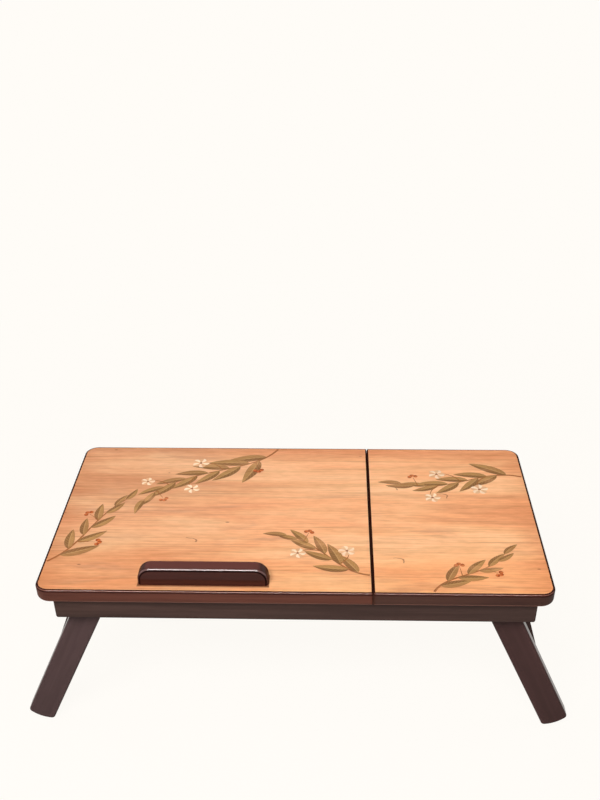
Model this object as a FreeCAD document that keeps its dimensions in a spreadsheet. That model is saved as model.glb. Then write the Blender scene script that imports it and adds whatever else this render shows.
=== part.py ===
import FreeCAD, Part
import math
import os
import re

import Sketcher

# Driving sizes in mm and degrees.
SIZES = {
    # top
    "top_width": 560.0,
    "top_depth": 305.0,
    "table_height": 223.0,
    "board_thick": 17.0,
    "tilt_width": 364.5,
    "seam_gap": 1.2,
    "corner_radius": 16.0,
    "seam_round": 1.0,
    "board_top_round": 2.5,
    "board_bottom_round": 4.5,
    "face_thick": 0.8,
    "face_margin": 2.8,
    "seam_margin": 1.3,
    "stop_length": 141.0,
    "stop_height": 21.0,
    "stop_thick": 18.0,
    "stop_setback": 11.5,
    "stop_end_radius": 15.0,
    "stop_round": 4.0,
    "stop_screw_radius": 2.0,
    "stop_screw_length": 28.0,
    "stop_screw_spread": 45.0,
    # apron and inner frame
    "apron_side_inset": 15.5,
    "apron_front_inset": 12.5,
    "apron_height": 31.5,
    "rail_thick": 15.0,
    "rail_round": 2.5,
    "bearer_thick": 14.0,
    "bearer_height": 22.0,
    "bearer_gap": 1.5,
    "base_thick": 4.0,
    "divider_thick": 12.0,
    "strip_gap": 1.0,
    "dowel_radius": 3.0,
    "dowel_in_rail": 8.0,
    "dowel_in_end": 14.0,
    "dowel_spread": 8.0,
    "fit_gap": 0.05,
    "base_screw_radius": 1.5,
    "base_screw_length": 14.0,
    "base_screw_inset": 30.0,
    "base_screw_edge": 4.0,
    "side_screw_radius": 1.75,
    "side_screw_length": 31.0,
    "side_screw_inset": 18.0,
    "side_screw_edge": 4.6,
    # legs
    "leg_width": 32.0,
    "leg_thick": 20.0,
    "leg_splay": 25.8,
    "leg_round": 3.0,
    "leg_corner": 4.5,
    "foot_arc": 40.0,
    "foot_flat": 0.4,
    "pivot_rise": 9.0,
    "rest_gap": 0.3,
    "stretcher_low": 93.0,
    "stretcher_width": 36.0,
    "stretcher_thick": 10.0,
    "stretcher_inset": 1.0,
    "stretcher_round": 2.0,
    "peg_radius": 3.0,
    "peg_in_leg": 12.0,
    "peg_in_stretcher": 15.0,
    "peg_spread": 9.0,
    "bush_wall": 2.0,
    "bolt_radius": 4.0,
    "bolt_run_gap": 0.06,
    "thread_radius": 3.0,
    "bolt_head_radius": 7.5,
    "bolt_head_height": 4.5,
    "socket_radius": 2.9,
    "socket_depth": 2.5,
    "head_recess": 6.0,
    "head_clear": 1.5,
    "insert_wall": 1.5,
    "insert_length": 11.0,
    "washer_radius": 10.0,
    "washer_thick": 1.0,
    "washer_gap": 0.2,
    # hinges
    "hinge_length": 38.0,
    "hinge_inset": 75.0,
    "hinge_gap": 0.3,
    "leaf_width": 13.0,
    "leaf_thick": 1.2,
    "knuckle_radius": 2.5,
    "hinge_pin_radius": 1.25,
    "hinge_run_gap": 0.04,
    "leaf_screw_radius": 1.2,
    "leaf_screw_length": 10.0,
    "leaf_screw_spread": 12.0,
    "leaf_screw_setback": 7.0,
    # prop
    "prop_reach": 31.1,
    "prop_front_gap": 8.5,
    "foot_height": 7.73,
    "prop_half_width": 55.0,
    "prop_side_gap": 0.4,
    "arm_thick": 8.0,
    "arm_height": 10.0,
    "arm_gap": 0.5,
    "foot_dowel_radius": 3.0,
    "foot_dowel_over": 16.0,
    "cleat_width": 12.0,
    "cleat_length": 30.0,
    "cleat_height": 11.0,
    "cleat_round": 2.0,
    "cleat_screw_radius": 1.5,
    "cleat_screw_length": 19.0,
    "cleat_screw_spread": 9.5,
    "prop_pin_radius": 2.0,
    "prop_run_gap": 0.06,
    "rack_gap": 2.0,
    "rack_width": 12.0,
    "crest_gap": 0.7,
    "notch_drop": 2.0,
    "notch_gap": 0.3,
    "low_tilt": 15.0,
    "mid_tilt": 22.5,
    "high_tilt": 30.0,
    # drawer
    "drawer_gap": 0.6,
    "slide_gap": 0.2,
    "drawer_back_gap": 6.0,
    "drawer_wall": 8.0,
    "drawer_bottom_thick": 3.0,
    "drawer_bottom_rise": 2.0,
    "groove_depth": 3.0,
    "drawer_peg_radius": 2.5,
    "drawer_peg_in": 13.0,
    "drawer_peg_drop": 6.0,
    "knob_gap": 2.5,
    "knob_length": 14.0,
    "knob_radius": 9.0,
    "knob_face_radius": 6.3,
    "knob_bevel": 2.1,
    "knob_head": 6.3,
    "knob_flare": 2.8,
    "knob_foot": 6.0,
    "knob_neck": 4.6,
    "knob_round": 1.5,
    "knob_screw_radius": 1.75,
    "knob_screw_length": 23.0,
    "catch_length": 10.0,
    "catch_width": 30.0,
    "catch_height": 6.0,
    "catch_inset": 4.0,
    "catch_screw_radius": 1.5,
    "catch_screw_length": 14.0,
    "catch_screw_spread": 8.0,
}

# Positions that follow from the sizes; the origin is on the floor under the middle of the top.
LAYOUT = {
    "half_width": "top_width / 2",
    "half_depth": "top_depth / 2",
    "board_low": "table_height - board_thick",
    "apron_low": "board_low - apron_height",
    "base_top": "board_low - bearer_height",
    "base_low": "base_top - base_thick",
    "apron_x": "half_width - apron_side_inset",
    "rail_in_x": "apron_x - rail_thick",
    "apron_y": "half_depth - apron_front_inset",
    "rail_in_y": "apron_y - rail_thick",
    "leg_side_gap": "washer_thick + washer_gap",
    "leg_out_y": "rail_in_y - leg_side_gap",
    "leg_in_y": "leg_out_y - leg_thick",
    "bearer_out_y": "leg_in_y - bearer_gap",
    "bearer_in_y": "bearer_out_y - bearer_thick",
    "bearer_mid_y": "bearer_out_y - bearer_thick / 2",
    "tilt_right": "tilt_width - half_width",
    "side_left": "tilt_right + seam_gap",
    "seam_x": "tilt_right + seam_gap / 2",
    "tilt_mid": "tilt_width / 2 - half_width",
    "pivot_z": "apron_low + pivot_rise",
    "strip_low": "pivot_z + leg_width / 2 + strip_gap",
    "pivot_x": "rail_in_x - (leg_width / 2 + rest_gap + pivot_rise * sin(leg_splay)) / cos(leg_splay)",
    "foot_side": "leg_width / 2 - leg_corner",
    "foot_sag": "foot_arc - sqrt((foot_arc - leg_corner) ^ 2 - foot_side ^ 2)",
    "foot_rise": "pivot_z - leg_corner - foot_side * sin(leg_splay) + foot_flat",
    "leg_reach": "foot_sag + foot_rise / cos(leg_splay)",
    "stretcher_out": "leg_width / 2 - stretcher_inset",
    "bush_radius": "bolt_radius + bolt_run_gap + bush_wall",
    "bush_length": "leg_thick - head_recess",
    "insert_radius": "thread_radius + fit_gap + insert_wall",
    "hinge_y": "-(apron_y + knuckle_radius + hinge_gap)",
    "leaf_back": "leaf_width - apron_y",
    "knuckle_length": "(hinge_length - 2 * hinge_gap) / 3",
    "prop_pivot_y": "bearer_in_y - prop_reach",
    "prop_pivot_z": "board_low - prop_drop",
    "prop_drop": "arm_height / 2 + arm_gap",
    "prop_lever": "prop_pivot_y - hinge_y",
    "prop_length": "prop_pivot_y + bearer_in_y - prop_front_gap - arm_height / 2",
    "foot_fall": "prop_lever * sin(mid_tilt) - prop_drop * cos(mid_tilt) + bearer_height - foot_height",
    "arm_turn": "asin(foot_fall / prop_length) / (mid_tilt * 1 deg)",
    "cleat_out": "prop_half_width - arm_thick / 2 - prop_side_gap",
    "cleat_in": "cleat_out - cleat_width",
    "rack_in": "prop_half_width + arm_thick / 2 + rack_gap",
    "drawer_out_y": "bearer_in_y - drawer_gap",
    "drawer_in_y": "drawer_out_y - drawer_wall",
    "drawer_left": "seam_x + divider_thick / 2 + drawer_back_gap",
    "drawer_low": "base_top + slide_gap",
    "drawer_top": "board_low - drawer_gap",
    "drawer_floor": "drawer_low + drawer_bottom_rise",
    "drawer_peg_z": "drawer_top - drawer_peg_drop",
    "knob_z": "board_low - knob_gap - knob_radius",
}

NEAR = 1e-4
TURNS = {
    "+x": (FreeCAD.Vector(0, 1, 0), 90),
    "-x": (FreeCAD.Vector(0, -1, 0), 90),
    "+y": (FreeCAD.Vector(-1, 0, 0), 90),
    "-y": (FreeCAD.Vector(1, 0, 0), 90),
    "+z": (FreeCAD.Vector(1, 0, 0), 0),
    "-z": (FreeCAD.Vector(1, 0, 0), 180),
}

doc = FreeCAD.newDocument("lap_table")
sheet = doc.addObject("Spreadsheet::Sheet", "sizes")
for row, (size_name, size_value) in enumerate(SIZES.items(), 1):
    sheet.set(f"A{row}", size_name)
    sheet.set(f"B{row}", str(size_value))
    sheet.setAlias(f"B{row}", size_name)
doc.recompute()
nodes = {}


def formula(text):
    """Spell a layout formula out in cells of the sizes sheet."""
    def spell(match):
        word = match.group(0)
        if word in SIZES:
            return "sizes." + word
        if word in LAYOUT:
            return "(" + formula(LAYOUT[word]) + ")"
        return word
    return re.sub(r"[a-z][a-z_]*", spell, text)


def bind(made, formulas):
    for prop, text in formulas.items():
        made.setExpression(prop, formula(text))


def place(made, x, y, z):
    bind(made, {"Placement.Base.x": x, "Placement.Base.y": y, "Placement.Base.z": z})


def block(name, x, y, z):
    """A plain block between two formulas on each axis."""
    made = doc.addObject("Part::Box", name)
    bind(made, {
        "Length": f"({x[1]}) - ({x[0]})",
        "Width": f"({y[1]}) - ({y[0]})",
        "Height": f"({z[1]}) - ({z[0]})",
    })
    place(made, x[0], y[0], z[0])
    return made


def rod(name, radius, length, base, aim):
    made = doc.addObject("Part::Cylinder", name)
    made.Placement = FreeCAD.Placement(FreeCAD.Vector(), FreeCAD.Rotation(*TURNS[aim]))
    bind(made, {"Radius": radius, "Height": length})
    place(made, *base)
    return made


def fuse(name, pieces):
    made = doc.addObject("Part::MultiFuse", name)
    made.Shapes = pieces
    return made


def cut(name, base, tools):
    made = doc.addObject("Part::Cut", name)
    made.Base = base
    made.Tool = tools[0] if len(tools) == 1 else fuse(name + "_tools", tools)
    return made


def tube(name, outer, inner, length, base, aim):
    return cut(name, rod(name + "_solid", outer, length, base, aim),
               [rod(name + "_bore", inner, length, base, aim)])


def screw(name, kind, base, aim, gap="0"):
    """A countersunk screw with its head face at base, or the hole for it where a gap is given."""
    shank = rod(name + "_shank", f"{kind}_radius + {gap}", f"{kind}_length + {gap}", base, aim)
    head = doc.addObject("Part::Cone", name + "_head")
    head.Placement = FreeCAD.Placement(FreeCAD.Vector(), FreeCAD.Rotation(*TURNS[aim]))
    bind(head, {
        "Radius1": f"2 * {kind}_radius + {gap}",
        "Radius2": f"{kind}_radius + {gap}",
        "Height": f"{kind}_radius",
    })
    place(head, *base)
    return fuse(name, [shank, head])


def screw_set(name, kind, bases, aim):
    """One node of equal screws, and the holes that take them."""
    screws = []
    holes = []
    for index, base in enumerate(bases, 1):
        screws.append(screw(f"{name}_{index}", kind, base, aim))
        holes.append(screw(f"{name}_hole_{index}", kind, base, aim, "fit_gap"))
    keep(name, group(name, screws))
    return holes


def pegs(name, radius, runs):
    """Round pegs and the holes that take them; a run gives the base, the length and the aim."""
    solid = []
    holes = []
    for index, (base, length, aim) in enumerate(runs, 1):
        solid.append(rod(f"{name}_{index}", radius, length, base, aim))
        holes.append(rod(f"{name}_hole_{index}", f"{radius} + fit_gap", length, base, aim))
    return solid, holes


def group(name, pieces):
    made = doc.addObject("Part::Compound", name + "_group")
    made.Links = pieces
    return made


def keep(name, made):
    """File an object as a named node of the assembly."""
    made.Label = name
    nodes[name] = made
    return made


def rim(shape, sides, skip=None):
    """Edges that lie on all the named outer sides of a shape, and not on the skipped one."""
    box = shape.BoundBox
    limits = {
        "-x": box.XMin, "+x": box.XMax,
        "-y": box.YMin, "+y": box.YMax,
        "-z": box.ZMin, "+z": box.ZMax,
    }

    def lies_on(edge, side):
        middle = (edge.FirstParameter + edge.LastParameter) / 2
        points = [vertex.Point for vertex in edge.Vertexes] + [edge.valueAt(middle)]
        return all(abs(getattr(point, side[1]) - limits[side]) < NEAR for point in points)

    found = []
    for index, edge in enumerate(shape.Edges, 1):
        wanted = all(lies_on(edge, side) for side in sides)
        if wanted and not (skip and lies_on(edge, skip)):
            found.append(f"Edge{index}")
    return found


def round_off(body, name, radius, places, skip=None):
    """Fillet the edges of a body that its places name."""
    doc.recompute()
    base = body.Tip
    edges = []
    for sides in places:
        edges += rim(base.Shape, sides, skip)
    made = body.newObject("PartDesign::Fillet", name)
    made.Base = (base, edges)
    bind(made, {"Radius": radius})
    doc.recompute()


def blank(name, x, y, z):
    """A body that starts as a block between two formulas on each axis."""
    body = doc.addObject("PartDesign::Body", name)
    solid = body.newObject("PartDesign::AdditiveBox", name + "_solid")
    bind(solid, {
        "Length": f"({x[1]}) - ({x[0]})",
        "Width": f"({y[1]}) - ({y[0]})",
        "Height": f"({z[1]}) - ({z[0]})",
    })
    place(body, x[0], y[0], z[0])
    return body


def sketch_in(body, name, plane):
    made = body.newObject("Sketcher::SketchObject", name)
    support = [part for part in body.Origin.OriginFeatures if part.Role == plane]
    made.AttachmentSupport = (support[0], [""])
    made.MapMode = "FlatFace"
    return made


def dimension(sketch, constraint, text):
    index = sketch.addConstraint(constraint)
    sketch.setExpression(f"Constraints[{index}]", formula(text))


def outline(body, name, plane, corners):
    """A closed sketch of straight sides whose corners are given as formulas."""
    sketch = sketch_in(body, name, plane)
    count = len(corners)
    spread = SIZES["stop_thick"] / 2
    rough = []
    for index in range(count):
        angle = 2 * math.pi * (index + 0.37) / count
        rough.append(FreeCAD.Vector(2 + math.cos(angle), 2 + math.sin(angle), 0) * spread)
    for index in range(count):
        sketch.addGeometry(Part.LineSegment(rough[index], rough[(index + 1) % count]), False)
    for index in range(count):
        sketch.addConstraint(Sketcher.Constraint("Coincident", index, 2, (index + 1) % count, 1))
    for index, (across, up) in enumerate(corners):
        if across == "0":
            sketch.addConstraint(Sketcher.Constraint("PointOnObject", index, 1, -2))
        else:
            dimension(sketch, Sketcher.Constraint("DistanceX", -1, 1, index, 1, rough[index].x), across)
        if up == "0":
            sketch.addConstraint(Sketcher.Constraint("PointOnObject", index, 1, -1))
        else:
            dimension(sketch, Sketcher.Constraint("DistanceY", -1, 1, index, 1, rough[index].y), up)
    return sketch


def pad(body, name, sketch, length, reverse):
    made = body.newObject("PartDesign::Pad", name)
    made.Profile = sketch
    made.Reversed = reverse
    bind(made, {"Length": length})
    doc.recompute()


# Fasteners that join the frame.
dowel_length = "dowel_in_rail + dowel_in_end"
dowel_runs = []
for along, aim in (("-1", "+y"), ("1", "-y")):
    for across in ("-1", "1"):
        for rise in ("-1", "1"):
            dowel_runs.append(((
                f"{across} * (apron_x - rail_thick / 2)",
                f"{along} * (rail_in_y + dowel_in_rail)",
                f"(apron_low + board_low) / 2 + {rise} * dowel_spread",
            ), dowel_length, aim))
for along in ("-1", "1"):
    for across, aim in (("-1", "+x"), ("1", "-x")):
        dowel_runs.append(((
            f"{across} * (rail_in_x + dowel_in_rail)",
            f"{along} * bearer_mid_y",
            "(base_top + board_low) / 2",
        ), dowel_length, aim))
for along, aim in (("-1", "+y"), ("1", "-y")):
    dowel_runs.append(((
        "seam_x",
        f"{along} * (bearer_in_y + dowel_in_rail)",
        "(base_top + board_low) / 2",
    ), dowel_length, aim))
frame_dowels, dowel_holes = pegs("frame_dowel", "dowel_radius", dowel_runs)
keep("frame_dowels", group("frame_dowels", frame_dowels))

base_bases = []
for along in ("-1", "1"):
    for across in ("-1", "-1 / 3", "1 / 3", "1"):
        base_bases.append((
            f"{across} * (rail_in_x - base_screw_inset)",
            f"{along} * (bearer_out_y - base_screw_edge)",
            "base_low",
        ))
base_holes = screw_set("base_panel_screws", "base_screw", base_bases, "+z")

side_bases = []
for along in ("-1", "1"):
    for across in ("seam_x + divider_thick / 2 + side_screw_inset",
                   "rail_in_x - dowel_in_end - side_screw_inset"):
        side_bases.append((across, f"{along} * (bearer_in_y + side_screw_edge)", "base_top"))
side_holes = screw_set("side_board_screws", "side_screw", side_bases, "+z")

catch_bases = []
for along in ("-1", "1"):
    catch_bases.append((
        "rail_in_x - catch_inset - catch_length / 2",
        f"{along} * catch_screw_spread",
        "board_low - catch_height",
    ))
catch_holes = screw_set("drawer_stop_screws", "catch_screw", catch_bases, "+z")

# Leg pivots, which stay with the frame.
bolts = []
inserts = []
washers = []
insert_holes = {"-1": [], "1": []}
for along, inward, outward in (("-1", "+y", "-y"), ("1", "-y", "+y")):
    for across in ("-1", "1"):
        tag = {"-1": "front", "1": "rear"}[along] + {"-1": "_left", "1": "_right"}[across]
        x = f"{across} * pivot_x"
        at_rail = (x, f"{along} * rail_in_y", "pivot_z")
        under_head = (x, f"{along} * (leg_out_y - bush_length - fit_gap)", "pivot_z")
        head_top = (x, f"{along} * (leg_out_y - bush_length - fit_gap - bolt_head_height)", "pivot_z")
        shoulder = rod(f"bolt_{tag}_shoulder", "bolt_radius",
                       "leg_side_gap + bush_length + fit_gap", at_rail, inward)
        thread = rod(f"bolt_{tag}_thread", "thread_radius", "insert_length", at_rail, outward)
        head = rod(f"bolt_{tag}_head", "bolt_head_radius", "bolt_head_height", under_head, inward)
        socket = doc.addObject("Part::Prism", f"bolt_{tag}_socket")
        socket.Polygon = 6
        socket.Placement = FreeCAD.Placement(FreeCAD.Vector(), FreeCAD.Rotation(*TURNS[outward]))
        bind(socket, {"Circumradius": "socket_radius", "Height": "socket_depth"})
        place(socket, *head_top)
        bolts.append(cut(f"bolt_{tag}", fuse(f"bolt_{tag}_solid", [shoulder, thread, head]), [socket]))
        inserts.append(tube(f"insert_{tag}", "insert_radius", "thread_radius + fit_gap",
                            "insert_length", at_rail, outward))
        washers.append(tube(f"washer_{tag}", "washer_radius", "bolt_radius + fit_gap",
                            "washer_thick", at_rail, inward))
        insert_holes[along].append(rod(f"insert_{tag}_hole", "insert_radius + fit_gap",
                                       "insert_length + fit_gap", at_rail, outward))
keep("leg_pivot_bolts", group("leg_pivot_bolts", bolts))
keep("leg_pivot_inserts", group("leg_pivot_inserts", inserts))
keep("leg_washers", group("leg_washers", washers))

# Hinges of the tilt board.
hinge_places = ("hinge_inset - half_width", "tilt_right - hinge_inset")
rail_leaves = []
board_leaves = []
hinge_pins = []
rail_recesses = []
board_recesses = []
leaf_bases = []
for index, middle in enumerate(hinge_places, 1):
    for side in ("-1", "1"):
        leaf_bases.append((
            f"{middle} + {side} * leaf_screw_spread",
            "leaf_screw_setback - apron_y",
            "board_low",
        ))
rail_leaf_holes = screw_set("hinge_rail_screws", "leaf_screw", leaf_bases, "-z")
board_leaf_holes = screw_set("hinge_board_screws", "leaf_screw", leaf_bases, "+z")
for index, middle in enumerate(hinge_places, 1):
    ends = (f"{middle} - hinge_length / 2", f"{middle} + hinge_length / 2")
    clear_ends = (f"{ends[0]} - hinge_gap", f"{ends[1]} + hinge_gap")
    plate_y = ("-apron_y", "leaf_back")
    barrel_y = ("hinge_y", "-apron_y")
    low_z = ("board_low - leaf_thick", "board_low")
    high_z = ("board_low", "board_low + leaf_thick")
    axis = (ends[0], "hinge_y", "board_low")
    bore = rod(f"hinge_bore_{index}", "hinge_pin_radius + hinge_run_gap", "hinge_length", axis, "+x")
    parts = [block(f"rail_leaf_plate_{index}", ends, plate_y, low_z)]
    for side, start in (("a", ends[0]), ("b", f"{ends[1]} - knuckle_length")):
        span = (start, f"{start} + knuckle_length")
        parts.append(rod(f"rail_knuckle_{index}{side}", "knuckle_radius", "knuckle_length",
                         (start, "hinge_y", "board_low"), "+x"))
        parts.append(block(f"rail_tab_{index}{side}", span, barrel_y, low_z))
    rail_leaves.append(cut(f"rail_leaf_{index}", fuse(f"rail_leaf_solid_{index}", parts),
                           [bore] + rail_leaf_holes[2 * index - 2:2 * index]))
    start = f"{middle} - knuckle_length / 2"
    parts = [
        block(f"board_leaf_plate_{index}", ends, plate_y, high_z),
        rod(f"board_knuckle_{index}", "knuckle_radius", "knuckle_length",
            (start, "hinge_y", "board_low"), "+x"),
        block(f"board_tab_{index}", (start, f"{start} + knuckle_length"), barrel_y, high_z),
    ]
    board_leaves.append(cut(f"board_leaf_{index}", fuse(f"board_leaf_solid_{index}", parts),
                            [bore] + board_leaf_holes[2 * index - 2:2 * index]))
    hinge_pins.append(rod(f"hinge_pin_{index}", "hinge_pin_radius", "hinge_length", axis, "+x"))
    rail_recesses.append(block(f"rail_recess_{index}", clear_ends,
                               ("-apron_y - hinge_gap", "leaf_back + hinge_gap"),
                               ("board_low - leaf_thick", "board_low + hinge_gap")))
    board_recesses.append(block(f"board_recess_{index}", clear_ends,
                                ("-apron_y - hinge_gap", "leaf_back + hinge_gap"),
                                ("board_low - hinge_gap", "board_low + leaf_thick")))
    board_recesses.append(block(f"knuckle_pocket_{index}", clear_ends,
                                ("hinge_y - knuckle_radius - 2 * hinge_gap", "-apron_y + hinge_gap"),
                                ("board_low - hinge_gap", "board_low + knuckle_radius + 2 * hinge_gap")))
keep("hinge_rail_leaves", group("hinge_rail_leaves", rail_leaves))
keep("hinge_board_leaves", group("hinge_board_leaves", board_leaves))
keep("hinge_pins", group("hinge_pins", hinge_pins))

# Apron and inner frame.
apron_z = ("apron_low", "board_low")
bearer_z = ("base_top", "board_low")
front = blank("front_rail_body", ("-apron_x", "apron_x"), ("-apron_y", "-rail_in_y"), apron_z)
round_off(front, "front_rail_round", "rail_round",
          [("-y", "-z"), ("-x", "-z"), ("+x", "-z"), ("-x", "-y"), ("+x", "-y")])
keep("front_rail", cut("front_rail_cut", front, insert_holes["-1"] + dowel_holes[0:4]
                       + rail_recesses + rail_leaf_holes))
rear = blank("rear_rail_body", ("-apron_x", "apron_x"), ("rail_in_y", "apron_y"), apron_z)
round_off(rear, "rear_rail_round", "rail_round",
          [("+y", "-z"), ("-x", "-z"), ("+x", "-z"), ("-x", "+y"), ("+x", "+y")])
keep("rear_rail", cut("rear_rail_cut", rear, insert_holes["1"] + dowel_holes[4:8]))
left = blank("left_rail_body", ("-apron_x", "-rail_in_x"), ("-rail_in_y", "rail_in_y"), apron_z)
round_off(left, "left_rail_round", "rail_round", [("-x", "-z")])
keep("left_rail", cut("left_rail_cut", left, dowel_holes[0:2] + dowel_holes[4:6]
                      + [dowel_holes[8], dowel_holes[10]]))
for name, span, holes in (
    ("right_front_post", ("-rail_in_y", "-bearer_in_y"), dowel_holes[2:4] + [dowel_holes[9]]),
    ("right_rear_post", ("bearer_in_y", "rail_in_y"), dowel_holes[6:8] + [dowel_holes[11]]),
):
    post = blank(name + "_body", ("rail_in_x", "apron_x"), span, apron_z)
    round_off(post, name + "_round", "rail_round", [("+x", "-z")])
    keep(name, cut(name + "_cut", post, holes))
for name, span, holes in (
    ("front_bearer", ("-bearer_out_y", "-bearer_in_y"),
     dowel_holes[8:10] + [dowel_holes[12]] + base_holes[0:4] + side_holes[0:2]),
    ("rear_bearer", ("bearer_in_y", "bearer_out_y"),
     dowel_holes[10:12] + [dowel_holes[13]] + base_holes[4:8] + side_holes[2:4]),
):
    bearer = block(name + "_solid", ("-rail_in_x", "rail_in_x"), span, bearer_z)
    keep(name, cut(name + "_cut", bearer, holes))
divider = block("divider_solid", ("seam_x - divider_thick / 2", "seam_x + divider_thick / 2"),
                ("-bearer_in_y", "bearer_in_y"), bearer_z)
keep("divider", cut("divider_cut", divider, dowel_holes[12:14]))
for name, span in (
    ("front_seam_strip", ("-rail_in_y", "-bearer_out_y")),
    ("rear_seam_strip", ("bearer_out_y", "rail_in_y")),
):
    keep(name, block(name, ("seam_x - divider_thick / 2", "seam_x + divider_thick / 2"), span,
                     ("strip_low", "board_low")))
base = block("base_panel_solid", ("-rail_in_x", "rail_in_x"), ("-bearer_out_y", "bearer_out_y"),
             ("base_low", "base_top"))
keep("base_panel", cut("base_panel_cut", base, base_holes))
catch = block("drawer_stop_solid", ("rail_in_x - catch_inset - catch_length", "rail_in_x - catch_inset"),
              ("-catch_width / 2", "catch_width / 2"), ("board_low - catch_height", "board_low"))
keep("drawer_stop", cut("drawer_stop_cut", catch, catch_holes))

# Notched racks for the foot of the prop; the foot's path at a tilt sets their height.
foot_y = "hinge_y + prop_lever * cos({0}) + prop_drop * sin({0}) - prop_length * cos(arm_turn * {0})"
foot_z = "prop_lever * sin({0}) - prop_drop * cos({0}) - prop_length * sin(arm_turn * {0})"
step = "(high_tilt - low_tilt) / 2"
crests = []
for count in ("-0.6", "0.5", "1.5", "2.4"):
    tilt = f"(low_tilt + {count} * {step})"
    rise = f"board_low + {foot_z.format(tilt)} - foot_dowel_radius - crest_gap - base_top"
    crests.append((f"{foot_y.format(tilt)} - prop_pivot_y + prop_length", rise))
notches = []
for index, tilt in enumerate(("low_tilt", "mid_tilt", "high_tilt"), 1):
    notches.append(rod(f"notch_{index}", "foot_dowel_radius + notch_gap", "top_width", (
        "-half_width", foot_y.format(tilt), f"board_low + {foot_z.format(tilt)} - notch_drop"), "+x"))
for name, start in (
    ("prop_rack_left", "tilt_mid - rack_in - rack_width"),
    ("prop_rack_right", "tilt_mid + rack_in"),
):
    rack = doc.addObject("PartDesign::Body", name + "_body")
    profile = outline(rack, name + "_profile", "YZ_Plane",
                      [(crests[0][0], "0")] + crests + [(crests[-1][0], "0")])
    pad(rack, name + "_pad", profile, "rack_width", False)
    place(rack, start, "prop_pivot_y - prop_length", "base_top")
    keep(name, cut(name + "_cut", rack, notches))

# Stop bar and its screws.
stop_bases = []
for side in ("-1", "1"):
    stop_bases.append((
        f"tilt_mid + {side} * stop_screw_spread",
        "stop_setback + stop_thick / 2 - half_depth",
        "board_low",
    ))
stop_holes = screw_set("stop_bar_screws", "stop_screw", stop_bases, "+z")
bar = doc.addObject("PartDesign::Body", "stop_bar_body")
profile = outline(bar, "stop_bar_profile", "XZ_Plane", [
    ("0", "0"), ("stop_length", "0"), ("stop_length", "stop_height"), ("0", "stop_height")])
pad(bar, "stop_bar_pad", profile, "stop_thick", True)
round_off(bar, "stop_bar_ends", "stop_end_radius", [("-x", "+z"), ("+x", "+z")])
round_off(bar, "stop_bar_round", "stop_round", [("-y",), ("+y",)], "-z")
place(bar, "tilt_mid - stop_length / 2", "stop_setback - half_depth", "table_height")
keep("stop_bar", cut("stop_bar_cut", bar, stop_holes))

# Prop: cleats under the board, arms, and the foot dowel.
cleat_bases = []
for side in ("-1", "1"):
    for along in ("-1", "1"):
        cleat_bases.append((
            f"tilt_mid + {side} * (cleat_out - cleat_width / 2)",
            f"prop_pivot_y + {along} * cleat_screw_spread",
            "board_low - cleat_height",
        ))
cleat_holes = screw_set("prop_cleat_screws", "cleat_screw", cleat_bases, "+z")
pins = []
arm_ends = ("prop_pivot_y - prop_length", "prop_pivot_y")
for index, (side, inner, outer, arm_inner) in enumerate((
    ("left", "tilt_mid - cleat_out", "tilt_mid - cleat_in", "tilt_mid - prop_half_width - arm_thick / 2"),
    ("right", "tilt_mid + cleat_in", "tilt_mid + cleat_out", "tilt_mid + prop_half_width - arm_thick / 2"),
)):
    cleat = blank(f"prop_cleat_{side}_body", (inner, outer),
                  ("prop_pivot_y - cleat_length / 2", "prop_pivot_y + cleat_length / 2"),
                  ("board_low - cleat_height", "board_low"))
    round_off(cleat, f"prop_cleat_{side}_round", "cleat_round", [("-y", "-z"), ("+y", "-z")])
    pin_start = (arm_inner, "tilt_mid + cleat_in")[index]
    pin_base = (pin_start, "prop_pivot_y", "prop_pivot_z")
    pin_length = "cleat_width + prop_side_gap + arm_thick"
    pins.append(rod(f"prop_pin_{side}", "prop_pin_radius", pin_length, pin_base, "+x"))
    pin_hole = rod(f"prop_pin_hole_{side}", "prop_pin_radius + fit_gap", pin_length, pin_base, "+x")
    keep(f"prop_cleat_{side}", cut(f"prop_cleat_{side}_cut", cleat,
                                   [pin_hole] + cleat_holes[2 * index:2 * index + 2]))
    span = (arm_inner, f"{arm_inner} + arm_thick")
    parts = [block(f"prop_arm_{side}_bar", span, arm_ends,
                   ("prop_pivot_z - arm_height / 2", "prop_pivot_z + arm_height / 2"))]
    bores = []
    for tag, y, radius in (("top", arm_ends[1], "prop_pin_radius + prop_run_gap"),
                           ("foot", arm_ends[0], "foot_dowel_radius + fit_gap")):
        at = (arm_inner, y, "prop_pivot_z")
        parts.append(rod(f"prop_arm_{side}_{tag}", "arm_height / 2", "arm_thick", at, "+x"))
        bores.append(rod(f"prop_arm_{side}_{tag}_bore", radius, "arm_thick", at, "+x"))
    keep(f"prop_arm_{side}", cut(f"prop_arm_{side}_cut", fuse(f"prop_arm_{side}_solid", parts), bores))
keep("prop_pivot_pins", group("prop_pivot_pins", pins))
keep("prop_foot_dowel", rod("prop_foot_dowel", "foot_dowel_radius", "2 * (prop_half_width + foot_dowel_over)",
                            ("tilt_mid - prop_half_width - foot_dowel_over", arm_ends[0],
                             "prop_pivot_z"), "+x"))

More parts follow.
